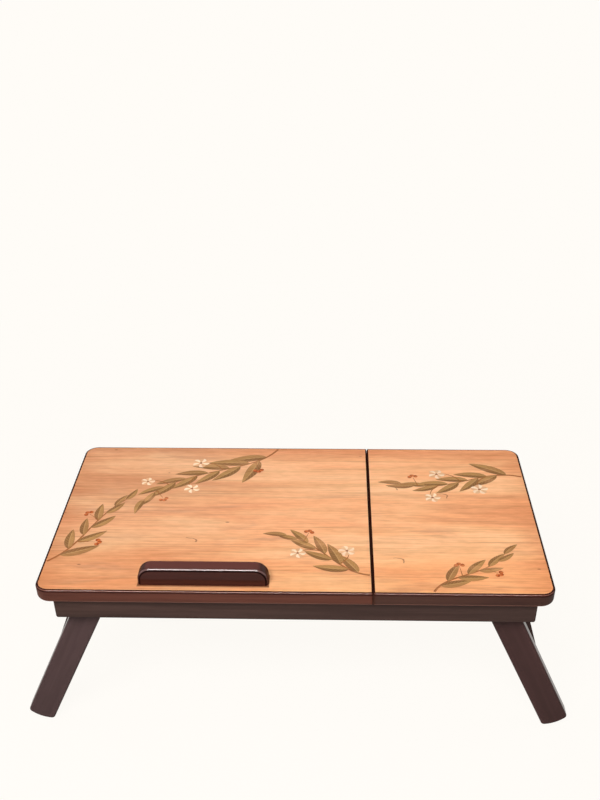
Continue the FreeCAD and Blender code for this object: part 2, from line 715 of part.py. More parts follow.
# Boards of the top with their face sheets.
board_z = ("board_low", "table_height")
face_z = ("table_height - face_thick", "table_height")
for name, span, face_span, outer, inner, tools, face_tools in (
    ("tilt_board", ("-half_width", "tilt_right"), ("face_margin - half_width", "tilt_right - seam_margin"),
     "-x", "+x", board_recesses + board_leaf_holes + stop_holes + cleat_holes, stop_holes),
    ("side_board", ("side_left", "half_width"), ("side_left + seam_margin", "half_width - face_margin"),
     "+x", "-x", side_holes + catch_holes, []),
):
    board = blank(name + "_body", span, ("-half_depth", "half_depth"), board_z)
    round_off(board, name + "_corners", "corner_radius", [(outer, "-y"), (outer, "+y")])
    round_off(board, name + "_top_round", "board_top_round", [("+z",)], inner)
    round_off(board, name + "_bottom_round", "board_bottom_round", [("-z",)], inner)
    round_off(board, name + "_seam_round", "seam_round", [(inner,)])
    face = blank(name + "_face_body", face_span, ("face_margin - half_depth", "half_depth - face_margin"),
                 face_z)
    round_off(face, name + "_face_corners", "corner_radius - face_margin", [(outer, "-y"), (outer, "+y")])
    keep(name, cut(name + "_cut", board, [face] + tools))
    keep(name + "_face", cut(name + "_face_cut", face, face_tools) if face_tools else face)

# Leg pairs, drawn hanging straight down from their pivot and then splayed to the rest pose.
floor = block("floor", ("-top_width", "top_width"), ("-top_depth", "top_depth"), ("-table_height", "0"))


def splay(made, side, turn):
    made.Placement = FreeCAD.Placement(FreeCAD.Vector(), FreeCAD.Rotation(FreeCAD.Vector(0, turn, 0), 1))
    bind(made, {"Placement.Rotation.Angle": "leg_splay"})
    place(made, f"{side} * pivot_x", "0", "pivot_z")
    return made


def leg_profile(body, name):
    """The flat outline of a leg: a round head about the pivot, straight sides and an arched foot."""
    sketch = sketch_in(body, name, "XZ_Plane")
    half = SIZES["leg_width"] / 2
    corner = SIZES["leg_corner"]
    arch = SIZES["foot_arc"]
    reach = SIZES["table_height"] * 0.9
    lean = math.asin((half - corner) / (arch - corner))
    level = arch - reach - (arch - corner) * math.cos(lean)
    down = 1.5 * math.pi
    z_axis = FreeCAD.Vector(0, 0, 1)

    def arc(x, y, radius, start, end):
        circle = Part.Circle(FreeCAD.Vector(x, y, 0), z_axis, radius)
        sketch.addGeometry(Part.ArcOfCircle(circle, start, end), False)

    def line(x, start, end):
        sketch.addGeometry(Part.LineSegment(FreeCAD.Vector(x, start, 0), FreeCAD.Vector(x, end, 0)), False)

    arc(0, 0, half, 0, math.pi)
    line(-half, 0, level)
    arc(corner - half, level, corner, math.pi, down - lean)
    arc(0, arch - reach, arch, down - lean, down + lean)
    arc(half - corner, level, corner, down + lean, 2 * math.pi)
    line(half, level, 0)
    for index in range(6):
        sketch.addConstraint(Sketcher.Constraint("Tangent", index, 2, (index + 1) % 6, 1))
    sketch.addConstraint(Sketcher.Constraint("Coincident", 0, 3, -1, 1))
    sketch.addConstraint(Sketcher.Constraint("Vertical", 1))
    sketch.addConstraint(Sketcher.Constraint("Vertical", 5))
    sketch.addConstraint(Sketcher.Constraint("Equal", 2, 4))
    sketch.addConstraint(Sketcher.Constraint("PointOnObject", 3, 3, -2))
    dimension(sketch, Sketcher.Constraint("Radius", 0, half), "leg_width / 2")
    dimension(sketch, Sketcher.Constraint("Radius", 2, corner), "leg_corner")
    dimension(sketch, Sketcher.Constraint("Radius", 3, arch), "foot_arc")
    dimension(sketch, Sketcher.Constraint("DistanceY", 3, 3, -1, 1, reach - arch), "leg_reach - foot_arc")
    return sketch


peg_length = "peg_in_leg + peg_in_stretcher"
for side, sign, turn in (("left", "-1", 1), ("right", "1", -1)):
    peg_runs = []
    for along, aim in (("-1", "+y"), ("1", "-y")):
        for rise in ("-1", "1"):
            peg_runs.append(((
                f"{sign} * (stretcher_out - stretcher_thick / 2)",
                f"{along} * (leg_in_y + peg_in_leg)",
                f"stretcher_width / 2 - stretcher_low + {rise} * peg_spread",
            ), peg_length, aim))
    solid_pegs, peg_holes = pegs(f"{side}_peg", "peg_radius", peg_runs)
    keep(f"{side}_stretcher_dowels", splay(group(f"{side}_stretcher_dowels", solid_pegs), sign, turn))
    bushes = []
    for end, along, inward, outward, first in (("front", "-1", "+y", "-y", 0), ("rear", "1", "-y", "+y", 2)):
        name = f"{side}_{end}_leg"
        body = doc.addObject("PartDesign::Body", name + "_body")
        pad(body, name + "_pad", leg_profile(body, name + "_profile"), "leg_thick", end == "front")
        round_off(body, name + "_round", "leg_round", [("-y",), ("+y",)])
        place(body, "0", f"{along} * leg_out_y", "0")
        at_rail = ("0", f"{along} * leg_out_y", "0")
        at_bearer = ("0", f"{along} * leg_in_y", "0")
        bush_hole = rod(name + "_bush_hole", "bush_radius + fit_gap", "leg_thick", at_rail, inward)
        recess = rod(name + "_recess", "bolt_head_radius + head_clear", "head_recess", at_bearer, outward)
        drilled = cut(name + "_drilled", body, [bush_hole, recess] + peg_holes[first:first + 2])
        splay(drilled, sign, turn)
        keep(name, cut(name + "_cut", drilled, [floor]))
        bushes.append(tube(name + "_bush", "bush_radius", "bolt_radius + bolt_run_gap",
                           "bush_length", at_rail, inward))
    keep(f"{side}_leg_bushes", splay(group(f"{side}_leg_bushes", bushes), sign, turn))
    name = f"{side}_stretcher"
    faces = (f"{sign} * stretcher_out", f"{sign} * (stretcher_out - stretcher_thick)")
    slat = blank(name + "_body", tuple(reversed(faces)) if side == "right" else faces,
                 ("-leg_in_y", "leg_in_y"), ("-stretcher_low", "stretcher_width - stretcher_low"))
    round_off(slat, name + "_round", "stretcher_round",
              [("-x", "-z"), ("+x", "-z"), ("-x", "+z"), ("+x", "+z")])
    keep(name, splay(cut(name + "_cut", slat, peg_holes), sign, turn))

# Drawer.
drawer_z = ("drawer_low", "drawer_top")
peg_runs = []
for along in ("-1", "1"):
    peg_runs.append(((
        "rail_in_x + dowel_in_rail", f"{along} * (drawer_in_y + drawer_wall / 2)", "drawer_peg_z",
    ), "dowel_in_rail + drawer_peg_in", "-x"))
for along, aim in (("-1", "+y"), ("1", "-y")):
    peg_runs.append(((
        "drawer_left + drawer_wall / 2", f"{along} * drawer_out_y", "drawer_peg_z",
    ), "drawer_wall + drawer_peg_in", aim))
drawer_pegs, drawer_holes = pegs("drawer_peg", "drawer_peg_radius", peg_runs)
keep("drawer_dowels", group("drawer_dowels", drawer_pegs))
knob_holes = screw_set("drawer_knob_screw", "knob_screw", [("rail_in_x", "0", "knob_z")], "+x")
bottom_x = ("drawer_left + drawer_wall - groove_depth", "rail_in_x + groove_depth")
bottom_y = ("groove_depth + drawer_in_y", "drawer_floor", "drawer_floor + drawer_bottom_thick")
keep("drawer_bottom", block("drawer_bottom", bottom_x, ("-" + f"({bottom_y[0]})", bottom_y[0]), bottom_y[1:]))
groove = block("drawer_groove", (f"{bottom_x[0]} - fit_gap", f"{bottom_x[1]} + fit_gap"),
               (f"-({bottom_y[0]}) - fit_gap", f"{bottom_y[0]} + fit_gap"),
               (f"{bottom_y[1]} - fit_gap", f"{bottom_y[2]} + fit_gap"))
drawer_front = blank("drawer_front_body", ("rail_in_x", "apron_x"), ("-drawer_out_y", "drawer_out_y"),
                     ("apron_low", "drawer_top"))
round_off(drawer_front, "drawer_front_round", "rail_round", [("+x", "-z")])
keep("drawer_front", cut("drawer_front_cut", drawer_front, [groove] + drawer_holes[0:2] + knob_holes))
for name, span, holes in (
    ("drawer_front_side", ("-drawer_out_y", "-drawer_in_y"), [drawer_holes[0], drawer_holes[2]]),
    ("drawer_rear_side", ("drawer_in_y", "drawer_out_y"), [drawer_holes[1], drawer_holes[3]]),
):
    wall = block(name + "_solid", ("drawer_left", "rail_in_x"), span, drawer_z)
    keep(name, cut(name + "_cut", wall, [groove] + holes))
back = block("drawer_back_solid", ("drawer_left", "drawer_left + drawer_wall"),
             ("-drawer_in_y", "drawer_in_y"), drawer_z)
keep("drawer_back", cut("drawer_back_cut", back, [groove] + drawer_holes[2:4]))
knob = doc.addObject("PartDesign::Body", "drawer_knob_body")
profile = outline(knob, "drawer_knob_profile", "XZ_Plane", [
    ("0", "0"), ("knob_length", "0"), ("knob_length", "knob_face_radius"),
    ("knob_length - knob_bevel", "knob_radius"), ("knob_length - knob_head", "knob_radius"),
    ("knob_length - knob_head - knob_flare", "knob_neck"), ("0", "knob_foot")])
turned = knob.newObject("PartDesign::Revolution", "drawer_knob_turn")
turned.Profile = profile
turned.ReferenceAxis = (profile, ["H_Axis"])
turned.Angle = 360
round_off(knob, "drawer_knob_round", "knob_round", [("+x",)])
place(knob, "apron_x", "0", "knob_z")
keep("drawer_knob", cut("drawer_knob_cut", knob, knob_holes))

doc.recompute()
os.makedirs("parts", exist_ok=True)
for made in doc.Objects:
    if "Invalid" in made.State or "Error" in made.State:
        raise RuntimeError(f"{made.Name} did not build: {made.State}")
for name, made in nodes.items():
    if made.Shape.isNull() or not made.Shape.isValid():
        raise RuntimeError(f"{name} has no valid shape")
    made.Shape.exportStep(f"parts/{name}.step")
    print(f"{name}: {len(made.Shape.Solids)} solids, {made.Shape.Volume:.0f} mm3")
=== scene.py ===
import math
import random

import bmesh
import bpy
from mathutils import Matrix, Vector


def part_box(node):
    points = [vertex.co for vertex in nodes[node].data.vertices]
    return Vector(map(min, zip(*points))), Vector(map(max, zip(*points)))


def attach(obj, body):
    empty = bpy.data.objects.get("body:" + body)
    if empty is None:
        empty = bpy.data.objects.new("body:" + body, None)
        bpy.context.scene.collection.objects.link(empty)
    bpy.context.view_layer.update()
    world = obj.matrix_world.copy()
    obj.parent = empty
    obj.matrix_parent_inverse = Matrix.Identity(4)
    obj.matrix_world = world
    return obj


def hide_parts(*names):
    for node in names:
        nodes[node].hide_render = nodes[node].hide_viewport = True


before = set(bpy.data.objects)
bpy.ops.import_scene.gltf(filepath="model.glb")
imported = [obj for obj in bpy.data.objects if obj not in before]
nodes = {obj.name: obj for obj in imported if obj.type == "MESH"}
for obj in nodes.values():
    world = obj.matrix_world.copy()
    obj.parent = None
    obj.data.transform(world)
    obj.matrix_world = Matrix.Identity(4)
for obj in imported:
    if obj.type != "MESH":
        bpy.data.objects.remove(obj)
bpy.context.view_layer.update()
scene = bpy.context.scene
scene.view_settings.view_transform = "Standard"

BOARD_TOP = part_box("tilt_board_face")[1].z
SEAM_X = (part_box("tilt_board")[1].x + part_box("side_board")[0].x) / 2
APRON_LOW, APRON_TOP = (corner.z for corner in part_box("front_rail"))
BAR_LOW, BAR_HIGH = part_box("stop_bar")
SPLAY = math.radians(25.8)


def paint(red, green, blue):
    """A colour given as it looks on a screen, 0 to 255, for a shader."""
    linear = []
    for part in (red, green, blue):
        part /= 255
        linear.append(part / 12.92 if part <= 0.04045 else ((part + 0.055) / 1.055) ** 2.4)
    return (*linear, 1.0)


# Colours of details; some are painted light and shade.
RIM_BLACK = paint(50, 22, 17)
PAINTED_HIGHLIGHT_BROWN = paint(135, 88, 74)
LIT_TOP_BROWN = paint(127, 79, 73)
PAINTED_HIGHLIGHT_PALE = paint(150, 118, 114)
PAINTED_SHADE_BLACK = paint(12, 2, 1)
CONTACT_SHADE_BROWN = paint(80, 30, 16)
WORN_EDGE = paint(116, 84, 74)
CLOUD_TAN = paint(206, 148, 112)
STREAK_TAN = paint(188, 124, 84)
BURNT_TAN = paint(212, 134, 88)
FLAW_BROWN = paint(128, 74, 48)
PRINT_FADE = paint(238, 172, 122)
BRIGHT_METAL = paint(235, 232, 226)
NYLON_DULL = paint(226, 221, 208)
NYLON_PALE = paint(238, 234, 224)


# Shader tree helpers.
def put(tree, kind, inputs=None, **settings):
    """Add a shader node; inputs gives a value or another node's output by socket."""
    made = tree.nodes.new("ShaderNode" + kind)
    for key, value in settings.items():
        setattr(made, key, value)
    for key, value in (inputs or {}).items():
        if isinstance(value, bpy.types.NodeSocket):
            tree.links.new(value, made.inputs[key])
        else:
            made.inputs[key].default_value = value
    return made


def use_group(tree, group, inputs):
    return put(tree, "Group", inputs, node_tree=group).outputs


def calc(tree, operation, first, second=0.5, clamp=False):
    made = put(tree, "Math", {0: first, 1: second}, operation=operation, use_clamp=clamp)
    return made.outputs[0]


def times(tree, first, second):
    return calc(tree, "MULTIPLY", first, second)


def remap(tree, value, low, high, to_low=0.0, to_high=1.0):
    made = put(tree, "MapRange", {"Value": value, "From Min": low, "From Max": high,
                                  "To Min": to_low, "To Max": to_high},
               interpolation_type="SMOOTHSTEP")
    return made.outputs["Result"]


def band(tree, value, rise, fall, strength=1.0):
    """A mask that rises over one range of a value and falls over a later one."""
    return times(tree, remap(tree, value, *rise), remap(tree, value, *fall, strength, 0.0))


def mix(tree, factor, first, second, mode="MIX"):
    made = put(tree, "Mix", {0: factor, 6: first, 7: second}, data_type="RGBA", blend_type=mode)
    return made.outputs[2]


def vector(tree, operation, first, second):
    return put(tree, "VectorMath", {0: first, 1: second}, operation=operation).outputs[0]


def stretch(tree, place, scale):
    return vector(tree, "MULTIPLY", place, scale)


def noise(tree, place, scale, detail=2.0, rough=0.5, twist=0.0):
    made = put(tree, "TexNoise", {"Vector": place, "Scale": scale, "Detail": detail,
                                  "Roughness": rough, "Distortion": twist})
    return made.outputs["Fac"]


def drawn_noise(tree, place, scale, detail=2.0, rough=0.5, twist=0.0):
    """Noise drawn out along the grain: its scale differs along X, Y and Z."""
    return noise(tree, stretch(tree, place, scale), 1.0, detail, rough, twist)


def ramp(tree, value, stops):
    made = put(tree, "ValToRGB", {"Fac": value})
    points = made.color_ramp.elements
    while len(points) < len(stops):
        points.new(1.0)
    for point, (place, colour) in zip(points, stops):
        point.position = place
        point.color = colour
    return made.outputs["Color"]


def tinted(tree, strength, colour, value, stops):
    """Colour times a ramp of light and dark tints."""
    return mix(tree, strength, colour, ramp(tree, value, stops), "MULTIPLY")


def bump(tree, height, strength, distance, normal):
    made = put(tree, "Bump", {"Height": height, "Strength": strength, "Distance": distance, "Normal": normal})
    return made.outputs[0]


def coordinate(tree, kind):
    """X, Y and Z of the Object, Normal or UV coordinate."""
    return put(tree, "SeparateXYZ", {0: put(tree, "TexCoord").outputs[kind]}).outputs


NO_TURN = (0.0, 0.0, 0.0)
ALONG_Y = (0.0, 0.0, math.pi / 2)


def object_place(tree, turn=NO_TURN):
    """Object coordinates, turned so that the grain of a piece runs along X."""
    place = put(tree, "TexCoord").outputs["Object"]
    return put(tree, "Mapping", {"Vector": place, "Rotation": turn}).outputs[0]


def new_group(name, inputs, outputs):
    """A shader node group with named sockets; a value input is a float, None is a vector."""
    tree = bpy.data.node_groups.new(name, "ShaderNodeTree")
    for label, start in inputs.items():
        kind = "NodeSocketVector" if start is None else "NodeSocketFloat"
        socket = tree.interface.new_socket(label, in_out="INPUT", socket_type=kind)
        if start is not None:
            socket.default_value = start
    for label, kind in outputs.items():
        tree.interface.new_socket(label, in_out="OUTPUT", socket_type="NodeSocket" + kind)
    entry = tree.nodes.new("NodeGroupInput")
    leave = tree.nodes.new("NodeGroupOutput")
    return tree, entry.outputs, leave.inputs


def new_material(name):
    made = bpy.data.materials.new(name)
    made.use_nodes = True
    tree = made.node_tree
    tree.nodes.clear()
    shader = put(tree, "BsdfPrincipled")
    finish = put(tree, "OutputMaterial", {"Surface": shader.outputs[0]})
    finish.is_active_output = True
    return made, tree, shader.inputs


def clear_coat(shader, weight, rough):
    """A clear coat is the only gloss on a finish of wood."""
    shader["Specular IOR Level"].default_value = 0.0
    shader["Coat Weight"].default_value = weight
    shader["Coat Roughness"].default_value = rough


# Shared effects.
def make_grain():
    """Wood figure that runs along X: broad bands, streaks and fine fibres."""
    tree, given, out = new_group("grain", {"Vector": None, "Width": 1.0},
                                 {"Bands": "Float", "Streaks": "Float", "Fibres": "Float"})
    wide = put(tree, "CombineXYZ", {0: 1.0, 1: given["Width"], 2: given["Width"]}).outputs[0]
    place = stretch(tree, given["Vector"], wide)
    tree.links.new(drawn_noise(tree, place, (2.6, 20.0, 20.0), 4.0, 0.55, 0.9), out["Bands"])
    tree.links.new(drawn_noise(tree, place, (6.0, 150.0, 150.0), 5.0, 0.6, 0.5), out["Streaks"])
    tree.links.new(drawn_noise(tree, place, (40.0, 1100.0, 1100.0)), out["Fibres"])
    return tree


def make_edges():
    """Softened edges: a mask of the rubbed edges and a rounded normal."""
    tree, given, out = new_group("edges", {"Vector": None, "Radius": 0.0008, "Patch": 60.0},
                                 {"Wear": "Float", "Normal": "Vector"})
    soft = put(tree, "Bevel", {"Radius": given["Radius"]}, samples=4).outputs[0]
    flat = put(tree, "NewGeometry").outputs["Normal"]
    facing = put(tree, "VectorMath", {0: soft, 1: flat}, operation="DOT_PRODUCT").outputs["Value"]
    bare = remap(tree, calc(tree, "SUBTRACT", 1.0, facing), 0.01, 0.2)
    patch = remap(tree, noise(tree, given["Vector"], given["Patch"], 3.0), 0.35, 0.65, 0.25, 1.0)
    tree.links.new(times(tree, bare, patch), out["Wear"])
    tree.links.new(soft, out["Normal"])
    return tree


def make_film():
    """How a film of lacquer or oil lies: slow waves for the gloss, a fine orange peel for the height."""
    tree, given, out = new_group("film", {"Vector": None, "Size": 1.0},
                                 {"Gloss": "Float", "Height": "Float"})
    place = put(tree, "VectorMath", {0: given["Vector"], 3: given["Size"]}, operation="SCALE").outputs[0]
    tree.links.new(remap(tree, noise(tree, place, 18.0, 4.0, 0.6, 0.4), 0.3, 0.7), out["Gloss"])
    tree.links.new(noise(tree, place, 420.0, 3.0, 0.6), out["Height"])
    return tree


def make_flaws():
    """Small flaws of a wood face: specks drawn out along the grain and short curled hairlines."""
    few = 0.72
    tree, given, out = new_group("flaws", {"Vector": None}, {"Specks": "Float", "Curls": "Float"})
    place = stretch(tree, given["Vector"], (26.0, 60.0, 1.0))
    cell = put(tree, "TexVoronoi", {"Vector": place, "Scale": 1.0}).outputs
    rare = put(tree, "SeparateColor", {0: cell["Color"]}).outputs
    size = remap(tree, rare[1], 0.0, 1.0, 0.04, 0.1)
    dot = remap(tree, cell["Distance"], times(tree, size, 0.45), size, 1.0, 0.0)
    tree.links.new(times(tree, dot, calc(tree, "GREATER_THAN", rare[0], few)), out["Specks"])

    wavy = put(tree, "TexNoise", {"Vector": given["Vector"], "Scale": 60.0, "Detail": 2.0}).outputs["Color"]
    sway = stretch(tree, vector(tree, "ADD", wavy, (-0.5, -0.5, -0.5)), (0.014, 0.014, 0.0))
    place = stretch(tree, vector(tree, "ADD", given["Vector"], sway), (17.0, 21.0, 0.0))
    cell = put(tree, "TexVoronoi", {"Vector": place, "Scale": 1.0}).outputs
    rare = put(tree, "SeparateColor", {0: cell["Color"]}).outputs
    ring = calc(tree, "ABSOLUTE", calc(tree, "SUBTRACT", cell["Distance"], 0.15))
    ring = remap(tree, ring, 0.005, 0.018, 1.0, 0.0)
    away = put(tree, "SeparateXYZ", {0: vector(tree, "SUBTRACT", place, cell["Position"])}).outputs
    arc = calc(tree, "GREATER_THAN", calc(tree, "ADD", away[0], away[1]), 0.09)
    curl = times(tree, times(tree, ring, arc), calc(tree, "GREATER_THAN", rare[0], few))
    tree.links.new(curl, out["Curls"])
    return tree


GRAIN = make_grain()
EDGES = make_edges()
FILM = make_film()
FLAWS = make_flaws()


# Details of the lacquer on single pieces, some with painted light and shade; each gives back the colour.
def painted_overhang_light(tree, shader, colour, coat):
    """The apron's colour is painted lighter towards its top, against the shade under the board's overhang,
    and darker towards its lower edge.
    """
    height = coordinate(tree, "Object")[2]
    return mix(tree, 1.0, colour, remap(tree, height, APRON_LOW, APRON_TOP, 0.88, 1.1), "MULTIPLY")


def painted_bar_light(tree, shader, colour, coat):
    """The stop bar is dull on top, and its top is painted lighter, as if lit from above; its rounded front
    edge has a painted pale highlight over a painted near-black matt line of shade.
    """
    worn_coat = 0.05
    facing = coordinate(tree, "Normal")
    # Painted light: the upward faces are made paler.
    colour = mix(tree, remap(tree, facing[2], 0.86, 0.99, 0.0, 0.4), colour, LIT_TOP_BROWN)
    # Painted highlight along the rounded front edge and its arched ends.
    pale = band(tree, facing[1], (-0.84, -0.78), (-0.5, -0.4))
    pale = times(tree, pale, remap(tree, facing[2], 0.1, 0.7, 0.06, 0.3))
    colour = mix(tree, pale, colour, PAINTED_HIGHLIGHT_PALE)
    # Painted shade: a near-black matt line under the painted highlight.
    painted_shade_line = band(tree, facing[1], (-0.995, -0.96), (-0.86, -0.78), 0.9)
    gloss = remap(tree, facing[2], 0.88, 0.98, coat, worn_coat)
    tree.links.new(times(tree, gloss, calc(tree, "SUBTRACT", 1.0, painted_shade_line)), shader["Coat Weight"])
    return mix(tree, painted_shade_line, colour, PAINTED_SHADE_BLACK)


def polished_edges(tree, shader, colour, coat):
    """The narrow edges of a leg, which don't look along Y, are polished more than its broad faces."""
    edge_coat = 0.6
    broad = calc(tree, "ABSOLUTE", coordinate(tree, "Normal")[1])
    tree.links.new(remap(tree, broad, 0.1, 0.7, edge_coat, coat), shader["Coat Weight"])
    return colour


def board_rim(tree, shader, colour, coat):
    """A board is near black and thinly coated round its face, with painted highlights along its rounded front
    edge, and matt at the seam.
    """
    rim_height, soft, rim_coat = BOARD_TOP - 0.0028, 0.0008, 0.1
    matt_to, glossy_from = 0.0016, 0.0032
    rounding = 0.15
    spot = coordinate(tree, "Object")
    facing = coordinate(tree, "Normal")
    above = remap(tree, spot[2], rim_height - soft, rim_height + soft)
    colour = mix(tree, above, colour, RIM_BLACK)
    front = remap(tree, facing[1], -0.5, -0.25, 1.0, 0.0)
    # Painted highlights on the upper and lower roundings of the front edge.
    for lowest, highest, highlight_share in ((0.55, 0.9, 0.8), (-0.85, -0.3, 0.85)):
        rounded = band(tree, facing[2], (lowest, lowest + rounding), (highest - rounding, highest), highlight_share)
        colour = mix(tree, times(tree, rounded, front), colour, PAINTED_HIGHLIGHT_BROWN)
    from_seam = calc(tree, "ABSOLUTE", calc(tree, "SUBTRACT", spot[0], SEAM_X))
    by_seam = remap(tree, from_seam, matt_to, glossy_from, 1.0, 0.0)
    thin = remap(tree, above, 0.0, 1.0, coat, rim_coat)
    thin = times(tree, thin, calc(tree, "SUBTRACT", 1.0, by_seam))
    tree.links.new(thin, shader["Coat Weight"])
    return colour


# Finishes.
def lacquer(name, deep, warm, turn=NO_TURN, shine=0.18, coat=0.14, figure=0.7, detail=None):
    """Dark satin lacquer over stained wood, with the grain faint under it, and a detail of its piece."""
    made, tree, shader = new_material(name)
    clear_coat(shader, coat, shine)
    place = object_place(tree, turn)
    grain = use_group(tree, GRAIN, {"Vector": place, "Width": 1.0})
    edges = use_group(tree, EDGES, {"Vector": place, "Radius": 0.0008, "Patch": 70.0})
    film = use_group(tree, FILM, {"Vector": place, "Size": 1.0})
    colour = ramp(tree, grain["Bands"], [(0.3, paint(*deep)), (0.7, paint(*warm))])
    colour = tinted(tree, figure, colour, grain["Streaks"], [
        (0.35, (0.74, 0.7, 0.68, 1)), (0.62, (1.12, 1.08, 1.06, 1))])
    if detail:
        colour = detail(tree, shader, colour, coat)
    colour = mix(tree, times(tree, edges["Wear"], 0.2), colour, WORN_EDGE)
    tree.links.new(colour, shader["Base Color"])
    tree.links.new(remap(tree, film["Gloss"], 0.0, 1.0, 0.42, 0.56), shader["Roughness"])
    height = calc(tree, "ADD", times(tree, grain["Fibres"], 0.6), film["Height"])
    tree.links.new(bump(tree, height, 0.05, 0.0003, edges["Normal"]), shader["Normal"])
    return made


def figured(tree, place, grain):
    """Colour of the wood face's figure: slow tone, bands, grey-brown clouds and groups of thin streaks."""
    slow = drawn_noise(tree, place, (2.2, 14.0, 1.0), 4.0, 0.6, 0.5)
    colour = ramp(tree, slow, [
        (0.36, paint(239, 164, 116)), (0.47, paint(246, 178, 129)),
        (0.55, paint(249, 188, 139)), (0.66, paint(252, 197, 149))])
    colour = tinted(tree, 0.9, colour, grain["Bands"], [
        (0.3, (0.81, 0.75, 0.71, 1)), (0.45, (0.96, 0.95, 0.93, 1)), (0.6, (1.03, 1.04, 1.05, 1))])
    cloud = drawn_noise(tree, place, (4.6, 21.0, 1.0), 4.0, 0.6, 1.3)
    wisp = drawn_noise(tree, place, (4.5, 130.0, 1.0), 4.0, 0.62, 0.6)
    cloud = times(tree, remap(tree, cloud, 0.5, 0.66), remap(tree, wisp, 0.38, 0.62, 0.25, 1.0))
    colour = mix(tree, times(tree, cloud, 0.6), colour, CLOUD_TAN)
    thin = remap(tree, grain["Streaks"], 0.3, 0.42, 1.0, 0.0)
    groups = remap(tree, drawn_noise(tree, place, (5.0, 17.0, 1.0)), 0.42, 0.6, 0.15, 1.0)
    return mix(tree, times(tree, times(tree, thin, groups), 0.42), colour, STREAK_TAN)


def aged(tree, place, colour):
    """The wood face after years: burnt side and back edges, a yellowed front, a deeper left end."""
    spot = coordinate(tree, "Object")
    ragged = drawn_noise(tree, place, (9.0, 40.0, 1.0), 4.0, 0.6)
    ragged = times(tree, calc(tree, "SUBTRACT", ragged, 0.5), 0.1)
    side = calc(tree, "ADD", calc(tree, "ABSOLUTE", spot[0]), ragged)
    back = calc(tree, "ADD", spot[1], ragged)
    burnt = calc(tree, "MAXIMUM", remap(tree, side, 0.235, 0.3), remap(tree, back, 0.105, 0.17))
    colour = mix(tree, times(tree, burnt, 0.7), colour, BURNT_TAN)
    sunny = remap(tree, back, -0.15, -0.02, 0.8, 0.0)
    colour = mix(tree, sunny, colour, (0.96, 0.88, 0.76, 1.0), "MULTIPLY")
    return tinted(tree, 1.0, colour, remap(tree, spot[0], -0.28, 0.28), [
        (0.0, (0.86, 0.89, 0.93, 1)), (0.4, (0.97, 0.97, 0.99, 1)), (1.0, (1.04, 1.04, 1.03, 1))])


def painted_contact_shade(tree, colour):
    """Painted shade on the wood round the foot of the stop bar, in a narrower line at the bar's ends."""
    line_from, line_to, narrower = 0.0002, 0.0042, 3.0
    spot = coordinate(tree, "Object")
    away = []
    for axis in range(2):
        middle = (BAR_LOW[axis] + BAR_HIGH[axis]) / 2
        half = (BAR_HIGH[axis] - BAR_LOW[axis]) / 2
        from_middle = calc(tree, "ABSOLUTE", calc(tree, "SUBTRACT", spot[axis], middle))
        away.append(calc(tree, "SUBTRACT", from_middle, half))
    from_bar = calc(tree, "MAXIMUM", times(tree, away[0], narrower), away[1])
    return mix(tree, remap(tree, from_bar, line_from, line_to, 0.85, 0.0), colour, CONTACT_SHADE_BROWN)


def face_wood(name):
    """Honey coloured wood face with figure, age, painted shade round the stop bar, mottling, long fine lines,
    fibres and flaws.
    """
    made, tree, shader = new_material(name)
    clear_coat(shader, 0.08, 0.34)
    place = object_place(tree)
    grain = use_group(tree, GRAIN, {"Vector": place, "Width": 1.4})
    film = use_group(tree, FILM, {"Vector": place, "Size": 1.0})
    flaws = use_group(tree, FLAWS, {"Vector": place})
    edges = use_group(tree, EDGES, {"Vector": place, "Radius": 0.0004, "Patch": 70.0})
    colour = figured(tree, place, grain)
    colour = aged(tree, place, colour)
    # Painted shade where the stop bar meets the wood.
    colour = painted_contact_shade(tree, colour)
    mottle = drawn_noise(tree, place, (70.0, 260.0, 1.0), 3.0, 0.6)
    colour = tinted(tree, 0.8, colour, mottle, [
        (0.34, (0.92, 0.9, 0.88, 1)), (0.62, (1.03, 1.04, 1.05, 1))])
    line = drawn_noise(tree, place, (6.5, 420.0, 1.0), 4.0, 0.65, 0.3)
    colour = tinted(tree, 0.9, colour, line, [
        (0.3, (0.79, 0.74, 0.7, 1)), (0.48, (0.99, 0.98, 0.98, 1)), (0.66, (1.04, 1.06, 1.07, 1))])
    colour = tinted(tree, 0.6, colour, grain["Fibres"], [
        (0.3, (0.86, 0.83, 0.8, 1)), (0.6, (1.03, 1.03, 1.03, 1))])
    flaw = calc(tree, "MAXIMUM", times(tree, flaws["Specks"], 0.75), times(tree, flaws["Curls"], 0.7))
    colour = mix(tree, flaw, colour, FLAW_BROWN)
    tree.links.new(colour, shader["Base Color"])
    tree.links.new(remap(tree, film["Gloss"], 0.0, 1.0, 0.36, 0.5), shader["Roughness"])
    height = calc(tree, "ADD", grain["Fibres"], times(tree, film["Height"], 0.5))
    tree.links.new(bump(tree, height, 0.08, 0.0003, edges["Normal"]), shader["Normal"])
    return made


